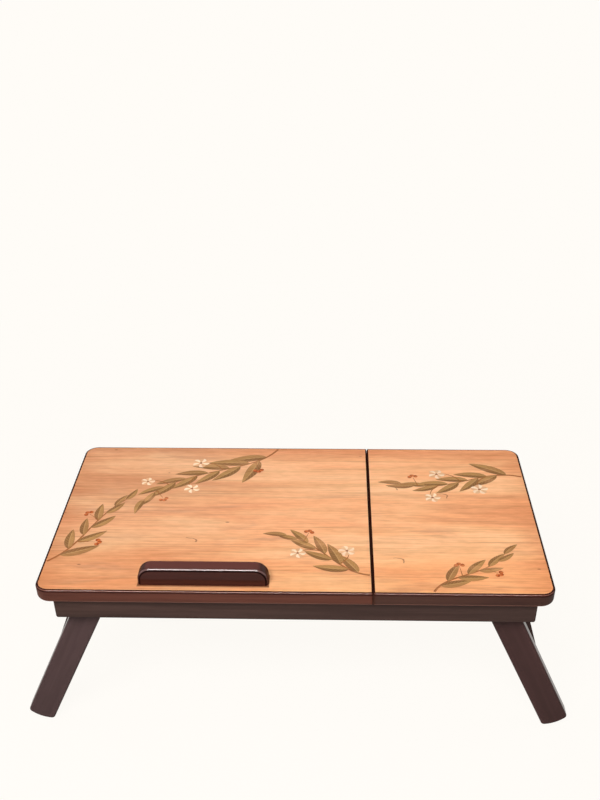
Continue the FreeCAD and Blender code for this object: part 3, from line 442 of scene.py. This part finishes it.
def plain_wood(name, deep, pale, turn=NO_TURN, width=1.0, rough=0.6):
    """Stained or bare wood of the inner frame, with open grain and rubbed edges."""
    made, tree, shader = new_material(name)
    clear_coat(shader, 0.08, 0.45)
    place = object_place(tree, turn)
    grain = use_group(tree, GRAIN, {"Vector": place, "Width": width})
    edges = use_group(tree, EDGES, {"Vector": place, "Radius": 0.0007, "Patch": 90.0})
    film = use_group(tree, FILM, {"Vector": place, "Size": 1.3})
    colour = ramp(tree, grain["Bands"], [(0.3, paint(*deep)), (0.7, paint(*pale))])
    colour = tinted(tree, 0.8, colour, grain["Streaks"], [
        (0.34, (0.6, 0.56, 0.52, 1)), (0.6, (1.1, 1.1, 1.1, 1))])
    colour = tinted(tree, 0.7, colour, grain["Fibres"], [
        (0.32, (0.7, 0.66, 0.62, 1)), (0.5, (1.0, 1.0, 1.0, 1))])
    light = mix(tree, 0.5, colour, paint(*pale), "SCREEN")
    colour = mix(tree, times(tree, edges["Wear"], 0.4), colour, light)
    tree.links.new(colour, shader["Base Color"])
    tree.links.new(remap(tree, film["Gloss"], 0.0, 1.0, rough - 0.08, rough + 0.1), shader["Roughness"])
    height = calc(tree, "ADD", grain["Fibres"], times(tree, grain["Streaks"], 0.8))
    tree.links.new(bump(tree, height, 0.18, 0.0004, edges["Normal"]), shader["Normal"])
    return made


def metal(name, base, worn, rough, brushed):
    """Plated or bare metal with fine lathe lines and rubbed edges."""
    made, tree, shader = new_material(name)
    shader["Metallic"].default_value = 1.0
    place = object_place(tree)
    edges = use_group(tree, EDGES, {"Vector": place, "Radius": 0.0003, "Patch": 300.0})
    film = use_group(tree, FILM, {"Vector": place, "Size": 6.0})
    lines = drawn_noise(tree, place, brushed)
    colour = mix(tree, remap(tree, film["Gloss"], 0.0, 1.0), paint(*base), paint(*worn))
    colour = mix(tree, times(tree, edges["Wear"], 0.5), colour, BRIGHT_METAL)
    tree.links.new(colour, shader["Base Color"])
    tree.links.new(remap(tree, lines, 0.3, 0.7, rough - 0.08, rough + 0.1), shader["Roughness"])
    tree.links.new(bump(tree, lines, 0.12, 0.0001, edges["Normal"]), shader["Normal"])
    return made


def nylon(name):
    """Off-white moulded nylon with a faint haze."""
    made, tree, shader = new_material(name)
    shader["Subsurface Weight"].default_value = 0.1
    place = object_place(tree)
    edges = use_group(tree, EDGES, {"Vector": place, "Radius": 0.0003, "Patch": 200.0})
    film = use_group(tree, FILM, {"Vector": place, "Size": 4.0})
    tree.links.new(mix(tree, film["Gloss"], NYLON_DULL, NYLON_PALE), shader["Base Color"])
    tree.links.new(remap(tree, film["Gloss"], 0.0, 1.0, 0.38, 0.5), shader["Roughness"])
    tree.links.new(bump(tree, film["Height"], 0.06, 0.0002, edges["Normal"]), shader["Normal"])
    return made


ALONG_LEFT_LEG = (0.0, math.pi / 2 - SPLAY, 0.0)
ALONG_RIGHT_LEG = (0.0, math.pi / 2 + SPLAY, 0.0)
BRUSHED_ROUND = (900.0, 900.0, 60.0)
BRUSHED_LONG = (60.0, 900.0, 900.0)
zinc_steel = metal("zinc_steel", (168, 168, 170), (196, 196, 196), 0.34, BRUSHED_ROUND)

finishes = {
    # The rails' detail paints them lighter towards the top, against the shade under the board.
    lacquer("rail_lacquer", (63, 48, 44), (72, 54, 49), detail=painted_overhang_light):
        ["front_rail", "rear_rail"],
    lacquer("end_rail_lacquer", (63, 48, 44), (72, 54, 49), ALONG_Y, detail=painted_overhang_light):
        ["left_rail", "right_front_post", "right_rear_post", "drawer_front"],
    # Lit and shaded copies of one board lacquer: the side board's is painted darker, as shade, since light
    # falls from the left front.
    lacquer("tilt_board_lit_lacquer", (78, 44, 35), (92, 53, 42), shine=0.12, coat=0.2, detail=board_rim):
        ["tilt_board"],
    lacquer("side_board_shaded_lacquer", (61, 38, 32), (72, 47, 39), shine=0.12, coat=0.2, detail=board_rim):
        ["side_board"],
    # The stop bar's detail paints a lighter top, a highlight and a line of shade.
    lacquer("stop_bar_lacquer", (55, 26, 20), (64, 31, 25), shine=0.12, coat=0.29, detail=painted_bar_light):
        ["stop_bar"],
    # Lit and shaded copies of one leg lacquer: the left legs' is painted lighter and the right legs' darker,
    # since light falls from the left front.
    lacquer("left_leg_lit_lacquer", (70, 54, 53), (80, 62, 62), ALONG_LEFT_LEG,
            figure=0.4, detail=polished_edges):
        ["left_front_leg", "left_rear_leg"],
    lacquer("right_leg_shaded_lacquer", (60, 41, 39), (72, 50, 48), ALONG_RIGHT_LEG,
            figure=0.4, detail=polished_edges):
        ["right_front_leg", "right_rear_leg"],
    lacquer("slat_lacquer", (60, 42, 38), (70, 49, 44), ALONG_Y, coat=0.02):
        ["left_stretcher", "right_stretcher"],
    lacquer("seam_strip_stain", (48, 30, 25), (58, 37, 31), ALONG_Y, coat=0.0):
        ["front_seam_strip", "rear_seam_strip"],
    face_wood("face_wood"):
        ["tilt_board_face", "side_board_face"],
    plain_wood("bearer_wood", (86, 56, 40), (112, 76, 54)):
        ["front_bearer", "rear_bearer"],
    plain_wood("divider_wood", (86, 56, 40), (112, 76, 54), ALONG_Y):
        ["divider", "prop_rack_left", "prop_rack_right", "drawer_stop",
         "prop_cleat_left", "prop_cleat_right", "prop_arm_left", "prop_arm_right", "drawer_back"],
    plain_wood("base_panel_wood", (78, 50, 36), (104, 70, 50), width=0.5, rough=0.55):
        ["base_panel"],
    plain_wood("drawer_wood", (120, 82, 54), (150, 106, 72)):
        ["drawer_front_side", "drawer_rear_side", "drawer_bottom"],
    plain_wood("beech", (196, 152, 108), (220, 178, 132), width=1.6):
        ["frame_dowels", "prop_foot_dowel", "left_stretcher_dowels", "right_stretcher_dowels",
         "drawer_dowels"],
    zinc_steel:
        ["side_board_screws", "leg_pivot_bolts", "hinge_pins", "prop_pivot_pins"],
    metal("brass", (196, 158, 92), (214, 178, 112), 0.32, BRUSHED_LONG):
        ["hinge_rail_leaves", "hinge_board_leaves", "leg_pivot_inserts"],
    nylon("nylon"):
        ["leg_washers", "left_leg_bushes", "right_leg_bushes"],
}
for finish, names in finishes.items():
    for name in names:
        nodes[name].data.materials.clear()
        nodes[name].data.materials.append(finish)


def add_piece(name, shape, materials, body):
    """Make a new piece of a bmesh, which it frees, and let it ride on a body."""
    mesh = bpy.data.meshes.new(name)
    shape.to_mesh(mesh)
    shape.free()
    for material in materials:
        mesh.materials.append(material)
    piece = bpy.data.objects.new(name, mesh)
    scene.collection.objects.link(piece)
    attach(piece, body)
    return piece


# Edging on the inner edge of the side board, a thin strip that closes the seam between the boards.
EDGING_THICK, EDGING_GLUE, EDGING_ROUND = 0.0007, 0.00004, 0.00025
EDGING_SUNK, EDGING_SHORT = 0.0025, 0.0012


def make_edging():
    low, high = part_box("side_board")
    low_z, top_z = low.z + EDGING_SHORT, high.z - EDGING_SUNK
    inner_x = low.x - EDGING_GLUE
    shape = bmesh.new()
    bmesh.ops.create_cube(shape, size=1.0)
    size = (EDGING_THICK, high.y - low.y - 2 * EDGING_SHORT, top_z - low_z)
    middle = (inner_x - EDGING_THICK / 2, (low.y + high.y) / 2, (low_z + top_z) / 2)
    bmesh.ops.scale(shape, verts=shape.verts[:], vec=size)
    bmesh.ops.translate(shape, verts=shape.verts[:], vec=middle)
    outer = [edge for edge in shape.edges
             if all(vertex.co.x < middle[0] for vertex in edge.verts)]
    bmesh.ops.bevel(shape, geom=outer, offset=EDGING_ROUND, segments=3, profile=0.5, affect="EDGES",
                    material=-1)
    stain = lacquer("edging_stain", (62, 40, 33), (74, 48, 40), ALONG_Y, coat=0.0)
    add_piece("seam_edging", shape, [stain], "frame")


make_edging()


# Drawer knob, turned about X with its screw's bore, in the place of the plain one.
KNOB_BORE, KNOB_FOOT, KNOB_NECK, KNOB_HEAD, KNOB_FACE = 0.0018, 0.006, 0.0046, 0.009, 0.0063
KNOB_NECK_AT, KNOB_HEAD_AT, KNOB_HEAD_END = 0.0049, 0.0077, 0.0119
KNOB_BORE_SPARE, KNOB_STEPS, KNOB_WELD = 0.0003, 56, 0.000002
# Rings outside the bore that bend by more than the crease, in radians, are rounded.
KNOB_CREASE, KNOB_ROUND_FROM, KNOB_ROUND = 0.3, 0.003, 0.0009


def make_knob():
    low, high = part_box("drawer_knob")
    middle = (low + high) / 2
    bore_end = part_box("drawer_knob_screw")[1].x + KNOB_BORE_SPARE
    outline = [
        (bore_end, 0.0), (bore_end, KNOB_BORE), (low.x, KNOB_BORE), (low.x, KNOB_FOOT),
        (low.x + KNOB_NECK_AT, KNOB_NECK), (low.x + KNOB_HEAD_AT, KNOB_HEAD),
        (low.x + KNOB_HEAD_END, KNOB_HEAD), (high.x, KNOB_FACE), (high.x, 0.0)]
    shape = bmesh.new()
    points = [shape.verts.new((along, middle.y, middle.z + radius)) for along, radius in outline]
    lines = [shape.edges.new(pair) for pair in zip(points, points[1:])]
    bmesh.ops.spin(shape, geom=points + lines, cent=middle, axis=(1.0, 0.0, 0.0), angle=math.tau,
                   steps=KNOB_STEPS, use_merge=True)
    bmesh.ops.remove_doubles(shape, verts=shape.verts[:], dist=KNOB_WELD)
    bmesh.ops.recalc_face_normals(shape, faces=shape.faces[:])
    rings = [edge for edge in shape.edges
             if edge.calc_face_angle(0.0) > KNOB_CREASE
             and (edge.verts[0].co - middle).yz.length > KNOB_ROUND_FROM]
    bmesh.ops.bevel(shape, geom=rings, offset=KNOB_ROUND, segments=4, profile=0.5, affect="EDGES",
                    material=-1, clamp_overlap=True)
    gloss = lacquer("knob_lacquer", (62, 38, 32), (76, 48, 42), shine=0.14, coat=0.4)
    knob = add_piece("turned_drawer_knob", shape, [gloss], "drawer")
    knob.data.shade_smooth()
    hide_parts("drawer_knob")


make_knob()


# Countersunk screws with a cross recess, in the places of the plain ones.
# These shares are of the head's radius.
SLOT_ZONE, SLOT_NARROWING, CROSS_REACH, CROSS_MIDDLE = 0.3, 0.62, 0.5, 0.05
RECESS_TAPER, RECESS_DEPTH = 0.62, 0.42
HEAD_DEPTH, TIP_DEPTH, SHANK_SHARE, TIP_SHARE = 0.5, 0.7, 0.5, 0.2


def cross_screw(radius, length):
    """A screw whose head face looks up from the origin; its shank is half as wide as its head."""
    shape = bmesh.new()
    bmesh.ops.create_grid(shape, x_segments=5, y_segments=5, size=radius)
    for vertex in shape.verts:
        for axis in range(2):
            if abs(vertex.co[axis]) < radius * SLOT_ZONE:
                vertex.co[axis] *= SLOT_NARROWING
    cross = []
    for face in shape.faces:
        near, far = sorted(map(abs, face.calc_center_median().xy))
        if far < radius * CROSS_REACH and near < radius * CROSS_MIDDLE:
            cross.append(face)
    for vertex in shape.verts:
        if vertex.is_boundary:
            vertex.co = vertex.co.normalized() * radius
    sunk = bmesh.ops.extrude_face_region(shape, geom=cross)["geom"]
    bmesh.ops.delete(shape, geom=cross, context="FACES")
    floor_points = [part for part in sunk if isinstance(part, bmesh.types.BMVert)]
    bmesh.ops.scale(shape, vec=(RECESS_TAPER, RECESS_TAPER, 1.0), verts=floor_points)
    bmesh.ops.translate(shape, vec=(0.0, 0.0, -radius * RECESS_DEPTH), verts=floor_points)
    shank = length - radius * (HEAD_DEPTH + TIP_DEPTH)
    for spread, drop in ((SHANK_SHARE, radius * HEAD_DEPTH), (1.0, shank), (TIP_SHARE, radius * TIP_DEPTH)):
        rim = [edge for edge in shape.edges if edge.is_boundary]
        grown = bmesh.ops.extrude_edge_only(shape, edges=rim)["geom"]
        ring = [part for part in grown if isinstance(part, bmesh.types.BMVert)]
        bmesh.ops.scale(shape, vec=(spread, spread, 1.0), verts=ring)
        bmesh.ops.translate(shape, vec=(0.0, 0.0, -drop), verts=ring)
    bmesh.ops.edgeloop_fill(shape, edges=[edge for edge in shape.edges if edge.is_boundary])
    bmesh.ops.recalc_face_normals(shape, faces=shape.faces[:])
    return shape


CAD_WELD = 0.000001


def islands(mesh):
    """Corners of the box round each loose part of a CAD mesh."""
    shape = bmesh.new()
    shape.from_mesh(mesh)
    bmesh.ops.remove_doubles(shape, verts=shape.verts[:], dist=CAD_WELD)
    waiting = set(shape.verts)
    boxes = []
    while waiting:
        part = [waiting.pop()]
        for vertex in part:
            near = {edge.other_vert(vertex) for edge in vertex.link_edges} & waiting
            waiting -= near
            part.extend(near)
        places = [vertex.co for vertex in part]
        boxes.append((Vector(map(min, zip(*places))), Vector(map(max, zip(*places)))))
    shape.free()
    return sorted(boxes, key=lambda box: tuple(box[0]))


FACING_DOWN = Matrix.Rotation(math.pi, 4, "X")
FACING_UP = Matrix.Identity(4)
FACING_IN = Matrix.Rotation(-math.pi / 2, 4, "Y")
turns = random.Random(3)


def make_screws(name, body, facing):
    """One piece with a cross screw for each plain one of a node, each turned as it happened to stop."""
    all_screws = bmesh.new()
    loose = bpy.data.meshes.new("loose_screw")
    look = facing.to_3x3() @ Vector((0.0, 0.0, 1.0))
    for low, high in islands(nodes[name].data):
        size = high - low
        length = abs(size.dot(look))
        one = cross_screw((sum(size) - length) / 4, length)
        place = Matrix.Translation((low + high) / 2 + look * length / 2) @ facing
        place @= Matrix.Rotation(turns.uniform(0.0, math.pi), 4, "Z")
        bmesh.ops.transform(one, matrix=place, verts=one.verts[:])
        one.to_mesh(loose)
        one.free()
        all_screws.from_mesh(loose)
    bpy.data.meshes.remove(loose)
    piece = add_piece("cross_" + name, all_screws, [zinc_steel], body)
    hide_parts(name)


make_screws("base_panel_screws", "frame", FACING_DOWN)
make_screws("drawer_stop_screws", "frame", FACING_DOWN)
make_screws("hinge_rail_screws", "frame", FACING_UP)
make_screws("hinge_board_screws", "tilt_top", FACING_DOWN)
make_screws("stop_bar_screws", "tilt_top", FACING_DOWN)
make_screws("prop_cleat_screws", "tilt_top", FACING_DOWN)
make_screws("drawer_knob_screw", "drawer", FACING_IN)


# Printed sprigs on the wood faces: flat shapes a hair thick, shaped along a spine.
PRINT_LEVEL = BOARD_TOP + 0.00006
PRINT_STEP = 0.000004
PRINT_THICK = 0.00005
PRINT_WELD = 0.0000005
STEM_WIDTH, BLOSSOM_STALK, BERRY_STALK = 0.0026, 0.0014, 0.0012
LEAF, STEM, PETAL, HEART, BERRY = range(5)


def ink(name, shade, light, vein, old, ribs):
    """Print ink with a darker half, a pale midrib and side veins; the grain of the wood shows through it."""
    made, tree, shader = new_material(name)
    clear_coat(shader, 0.08, 0.34)
    place = object_place(tree)
    grain = use_group(tree, GRAIN, {"Vector": place, "Width": 1.4})
    film = use_group(tree, FILM, {"Vector": place, "Size": 1.0})
    flat = coordinate(tree, "UV")
    across = times(tree, calc(tree, "ABSOLUTE", calc(tree, "SUBTRACT", flat[0], 0.5)), 2.0)
    blot = noise(tree, place, 160.0, 3.0, 0.6)
    half = remap(tree, calc(tree, "ADD", flat[0], times(tree, blot, 0.3)), 0.58, 0.74)
    colour = mix(tree, half, paint(*shade), paint(*light))
    ageing = remap(tree, noise(tree, place, 24.0, 2.0), 0.42, 0.62, 0.0, 0.4)
    colour = mix(tree, ageing, colour, paint(*old))
    slant = calc(tree, "SUBTRACT", times(tree, flat[1], ribs), times(tree, across, ribs * 0.16))
    ridge = calc(tree, "ABSOLUTE", calc(tree, "SUBTRACT", calc(tree, "FRACT", slant), 0.5))
    side_vein = times(tree, remap(tree, ridge, 0.02, 0.14, 1.0, 0.0), 0.35)
    midrib = times(tree, remap(tree, across, 0.05, 0.16, 1.0, 0.0), 0.7)
    colour = mix(tree, calc(tree, "MAXIMUM", side_vein, midrib), colour, paint(*vein))
    colour = mix(tree, remap(tree, across, 0.82, 0.98, 0.0, 0.35), colour, paint(*shade))
    colour = tinted(tree, 0.7, colour, grain["Streaks"], [
        (0.34, (0.8, 0.78, 0.76, 1)), (0.6, (1.04, 1.04, 1.04, 1))])
    faded = drawn_noise(tree, place, (14.0, 60.0, 1.0), 4.0, 0.6)
    colour = mix(tree, remap(tree, faded, 0.5, 0.75, 0.0, 0.35), colour, PRINT_FADE)
    tree.links.new(colour, shader["Base Color"])
    tree.links.new(remap(tree, film["Gloss"], 0.0, 1.0, 0.36, 0.5), shader["Roughness"])
    surface = put(tree, "NewGeometry").outputs["Normal"]
    tree.links.new(bump(tree, grain["Fibres"], 0.08, 0.0003, surface), shader["Normal"])
    return made


def along_curve(spine, part):
    """Point and direction on a curve that four control points shape."""
    a, b, c, d = spine
    rest = 1.0 - part
    point = a * rest ** 3 + b * 3 * rest ** 2 * part + c * 3 * rest * part ** 2 + d * part ** 3
    aim = (b - a) * rest ** 2 + (c - b) * 2 * rest * part + (d - c) * part ** 2
    return point, aim.normalized()


def towards(angle):
    return Vector((math.cos(angle), math.sin(angle)))


def beside(aim):
    return Vector((aim.y, -aim.x))


class Print:
    """Print of one board: blades laid on the face, each a step above the last."""

    def __init__(self, name, body, seed):
        self.name = name
        self.body = body
        self.chance = random.Random(seed)
        self.shape = bmesh.new()
        self.shape.loops.layers.uv.new("print")
        self.level = PRINT_LEVEL

    def blade(self, spine, width, outline, material, steps=10):
        """A flat shape along a spine; outline gives the share of its width at each part of its length."""
        made = bmesh.ops.create_grid(self.shape, x_segments=2, y_segments=steps, size=0.5, calc_uvs=True)
        self.level += PRINT_STEP
        for vertex in made["verts"]:
            part = min(max(vertex.co.y + 0.5, 0.0), 1.0)
            point, aim = along_curve(spine, part)
            aside = beside(aim) * (vertex.co.x * width * outline(part))
            vertex.co = (point.x + aside.x, point.y + aside.y, self.level)
        for face in {face for vertex in made["verts"] for face in vertex.link_faces}:
            face.material_index = material

    def leaf(self, base, angle, length, width, bend):
        aim = towards(angle)
        aside = beside(aim) * bend
        tip = base + aim * length + aside
        spine = (base, base + aim * length * 0.3, base + aim * length * 0.7 + aside * 0.5, tip)
        self.blade(spine, width, lambda part: math.sin(math.pi * part ** 0.8) ** 0.9 + 0.02, LEAF)

    def stem(self, spine, width):
        self.blade(spine, width, lambda part: 1.0 - 0.65 * part, STEM, steps=28)

    def blossom(self, base, size, turn):
        """Five petals round a heart of three crossed blades."""
        for petal in range(5):
            aim = towards(turn + petal * math.tau / 5) * size
            spine = tuple(base + aim * share for share in (0.08, 0.35, 0.7, 1.0))
            self.blade(spine, size * 0.78, lambda part: math.sin(math.pi * part ** 1.5) ** 0.7 + 0.04, PETAL)
        for ring in range(3):
            aim = towards(turn + ring * math.tau / 3) * size * 0.17
            spine = tuple(base + aim * share for share in (-1.0, -0.3, 0.3, 1.0))
            self.blade(spine, size * 0.26, lambda part: math.sin(math.pi * part) ** 0.6 + 0.04, HEART,
                       steps=6)

    def sprig(self, points, count, length, width, first=0.12, opening=0.75):
        """A stem with leaves that alternate from side to side and grow shorter to its tip."""
        spine = tuple(Vector(point) for point in points)
        self.stem(spine, STEM_WIDTH)
        for index in range(count):
            part = first + (0.97 - first) * index / (count - 1)
            point, aim = along_curve(spine, part)
            side = 1 if index % 2 else -1
            straight = math.atan2(aim.y, aim.x)
            angle = straight + side * (opening - 0.35 * part) * self.chance.uniform(0.85, 1.15)
            if index == count - 1:
                angle = straight
            size = (1.0 - 0.4 * part) * self.chance.uniform(0.88, 1.08)
            self.leaf(point, angle, length * size, width * size, side * length * 0.16)
        return spine

    def spray(self, spine, part, reach, turn, size):
        """A short bowed stalk off a stem with a blossom on its end."""
        point, aim = along_curve(spine, part)
        away = towards(math.atan2(aim.y, aim.x) + turn) * reach
        bow = beside(away) * 0.25
        self.stem((point, point + away * 0.4 + bow, point + away * 0.8 + bow, point + away), BLOSSOM_STALK)
        self.blossom(point + away, size, self.chance.uniform(0.0, 1.2))

    def berries(self, spine, part, reach, turn, size):
        """A short stalk off a stem with three berries round its end."""
        point, aim = along_curve(spine, part)
        angle = math.atan2(aim.y, aim.x) + turn
        away = towards(angle) * reach
        self.stem((point, point + away * 0.3, point + away * 0.6, point + away), BERRY_STALK)
        for spot in (angle - 1.2, angle, angle + 1.2):
            out = towards(spot) * size
            ball = tuple(point + away + out * share for share in (0.25, 0.55, 0.95, 1.25))
            self.blade(ball, size, lambda part: 2.0 * math.sqrt(part * (1.0 - part)) + 0.03, BERRY, steps=8)

    def lay(self, inks):
        bmesh.ops.remove_doubles(self.shape, verts=self.shape.verts[:], dist=PRINT_WELD)
        bmesh.ops.solidify(self.shape, geom=self.shape.faces[:], thickness=-PRINT_THICK)
        bmesh.ops.recalc_face_normals(self.shape, faces=self.shape.faces[:])
        add_piece(self.name, self.shape, inks, self.body)


inks = [
    ink("leaf_ink", (138, 98, 60), (178, 132, 80), (204, 158, 102), (142, 92, 62), 9.0),
    ink("stem_ink", (142, 84, 48), (172, 108, 62), (186, 124, 74), (156, 84, 50), 30.0),
    ink("petal_ink", (226, 172, 128), (252, 226, 194), (238, 192, 150), (240, 196, 156), 4.0),
    ink("heart_ink", (132, 70, 42), (160, 88, 52), (206, 140, 84), (140, 70, 44), 3.0),
    ink("berry_ink", (150, 66, 36), (206, 112, 62), (206, 112, 62), (176, 84, 46), 1.0),
]

tilt_print = Print("tilt_board_print", "tilt_top", 5)
branch = tilt_print.sprig(
    [(-0.030, 0.148), (-0.060, 0.085), (-0.150, 0.105), (-0.190, 0.020)], 13, 0.056, 0.0155)
tilt_print.spray(branch, 0.45, 0.034, -0.9, 0.011)
tilt_print.spray(branch, 0.62, 0.030, 1.0, 0.010)
tilt_print.spray(branch, 0.80, 0.028, -1.0, 0.009)
tilt_print.berries(branch, 0.22, 0.020, 1.2, 0.0058)
tilt_print.berries(branch, 0.88, 0.020, 1.2, 0.0052)
twig = tilt_print.sprig(
    [(-0.276, -0.100), (-0.240, -0.070), (-0.245, -0.015), (-0.205, 0.030)], 9, 0.044, 0.013)
tilt_print.berries(twig, 0.34, 0.022, -1.2, 0.0056)
tilt_print.berries(twig, 0.66, 0.018, 1.2, 0.0052)
reeds = tilt_print.sprig(
    [(0.082, -0.120), (0.045, -0.115), (0.030, -0.060), (-0.015, -0.045)], 9, 0.046, 0.014)
tilt_print.spray(reeds, 0.35, 0.026, -1.1, 0.010)
tilt_print.spray(reeds, 0.60, 0.026, 1.0, 0.0095)
tilt_print.berries(reeds, 0.80, 0.018, -1.2, 0.0052)
tilt_print.lay(inks)

side_print = Print("side_board_print", "frame", 8)
branch = side_print.sprig(
    [(0.276, 0.085), (0.225, 0.105), (0.185, 0.040), (0.120, 0.070)], 11, 0.050, 0.0145)
side_print.spray(branch, 0.30, 0.032, 0.9, 0.011)
side_print.spray(branch, 0.52, 0.034, -0.9, 0.0105)
side_print.spray(branch, 0.70, 0.030, 1.0, 0.010)
side_print.berries(branch, 0.86, 0.020, -1.2, 0.0054)
twig = side_print.sprig(
    [(0.150, -0.148), (0.165, -0.115), (0.215, -0.120), (0.235, -0.075)], 8, 0.040, 0.012)
side_print.berries(twig, 0.42, 0.018, 1.2, 0.0052)
side_print.berries(twig, 0.68, 0.016, -1.2, 0.0050)
side_print.lay(inks)


# Studio: pale floor, white surround, soft lamps.
PALE = paint(255, 252, 247)
FLOOR_GREY = paint(172, 170, 166)
FLOOR_SIZE = 14.0
SURROUND_LIGHT = 0.2
SHADOW_SHARE = 0.04
SHADOW_NEAR, SHADOW_FAR = 0.5, 1.3


def seen_rays(tree):
    """One for rays that look at the studio itself: camera, glossy and transmission rays."""
    path = put(tree, "LightPath").outputs
    seen = calc(tree, "ADD", path["Is Camera Ray"], path["Is Glossy Ray"], clamp=True)
    return calc(tree, "ADD", seen, path["Is Transmission Ray"], clamp=True)


def make_surround():
    """A world that lights the table softly and looks white."""
    world = bpy.data.worlds.new("surround")
    scene.world = world
    world.use_nodes = True
    air = world.node_tree
    air.nodes.clear()
    lit = put(air, "Background", {"Color": (1.0, 1.0, 1.0, 1.0), "Strength": SURROUND_LIGHT})
    shown = put(air, "Background", {"Color": PALE, "Strength": 1.0})
    both = put(air, "MixShader", {0: seen_rays(air), 1: lit.outputs[0], 2: shown.outputs[0]})
    put(air, "OutputWorld", {"Surface": both.outputs[0]})


def make_floor():
    """A pale floor that keeps a faint shadow near the table."""
    pale_floor = bpy.data.materials.new("pale_floor")
    pale_floor.use_nodes = True
    tree = pale_floor.node_tree
    tree.nodes.clear()
    seen = seen_rays(tree)
    matt = put(tree, "BsdfDiffuse", {"Color": mix(tree, seen, FLOOR_GREY, PALE)})
    glow = put(tree, "Emission", {"Color": PALE, "Strength": 1.0})
    spot = put(tree, "TexCoord").outputs["Object"]
    reach = put(tree, "VectorMath", {0: spot}, operation="LENGTH").outputs["Value"]
    white = remap(tree, reach, SHADOW_NEAR, SHADOW_FAR, 1.0 - SHADOW_SHARE, 1.0)
    ground = put(tree, "MixShader", {0: times(tree, seen, white), 1: matt.outputs[0], 2: glow.outputs[0]})
    put(tree, "OutputMaterial", {"Surface": ground.outputs[0]})

    shape = bmesh.new()
    bmesh.ops.create_grid(shape, x_segments=4, y_segments=4, size=FLOOR_SIZE)
    mesh = bpy.data.meshes.new("floor")
    shape.to_mesh(mesh)
    shape.free()
    mesh.materials.append(pale_floor)
    floor = bpy.data.objects.new("floor", mesh)
    scene.collection.objects.link(floor)


def soft_lamp(name, place, aim_height, width, height, power):
    """A rectangular lamp that looks at a height above the middle of the floor."""
    data = bpy.data.lights.new(name, "AREA")
    data.shape = "RECTANGLE"
    data.size = width
    data.size_y = height
    data.energy = power
    lamp = bpy.data.objects.new(name, data)
    lamp.location = place
    aim = Vector((0.0, 0.0, aim_height))
    lamp.rotation_euler = (aim - Vector(place)).to_track_quat("-Z", "Y").to_euler()
    scene.collection.objects.link(lamp)
    return lamp


make_surround()
make_floor()
soft_lamp("main_lamp", (-0.35, -1.35, 1.75), 0.2, 1.4, 0.6, 44.0)
soft_lamp("front_lamp", (-0.3, -1.9, 0.4), 0.15, 1.6, 0.6, 10.0)
gleam = soft_lamp("gleam_lamp", (-0.2, -1.15, 1.9), 0.2, 1.8, 0.9, 250.0)
gleam.visible_diffuse = False
soft_lamp("right_lamp", (2.2, 0.3, 0.9), 0.15, 1.2, 1.2, 10.0)
soft_lamp("left_lamp", (-2.2, 0.5, 0.9), 0.15, 1.2, 1.2, 10.0)
soft_lamp("back_lamp", (-0.3, 2.3, 0.8), 0.15, 1.8, 1.0, 20.0)


# Camera at the photograph's viewpoint, for a frame of 600 by 800.
FRAME_PX = (600.0, 800.0)
FOCAL_PX = 1000.78
AXIS_PX = (304.192, 581.119)
EYE = (0.036426, -0.986243, 0.88393)
YAW, PITCH, ROLL = (math.radians(angle) for angle in (1.708, 37.7, 0.477))


def make_camera():
    lens = bpy.data.cameras.new("camera")
    lens.sensor_width = 36.0
    lens.lens = FOCAL_PX * lens.sensor_width / FRAME_PX[1]
    lens.shift_x = (FRAME_PX[0] / 2 - AXIS_PX[0]) / FRAME_PX[1]
    lens.shift_y = (AXIS_PX[1] - FRAME_PX[1] / 2) / FRAME_PX[1]
    lens.clip_start = 0.01
    camera = bpy.data.objects.new("camera", lens)
    camera.matrix_world = (Matrix.Translation(EYE) @ Matrix.Rotation(YAW, 4, "Z")
                           @ Matrix.Rotation(math.pi / 2 - PITCH, 4, "X") @ Matrix.Rotation(-ROLL, 4, "Z"))
    scene.collection.objects.link(camera)
    scene.camera = camera


make_camera()
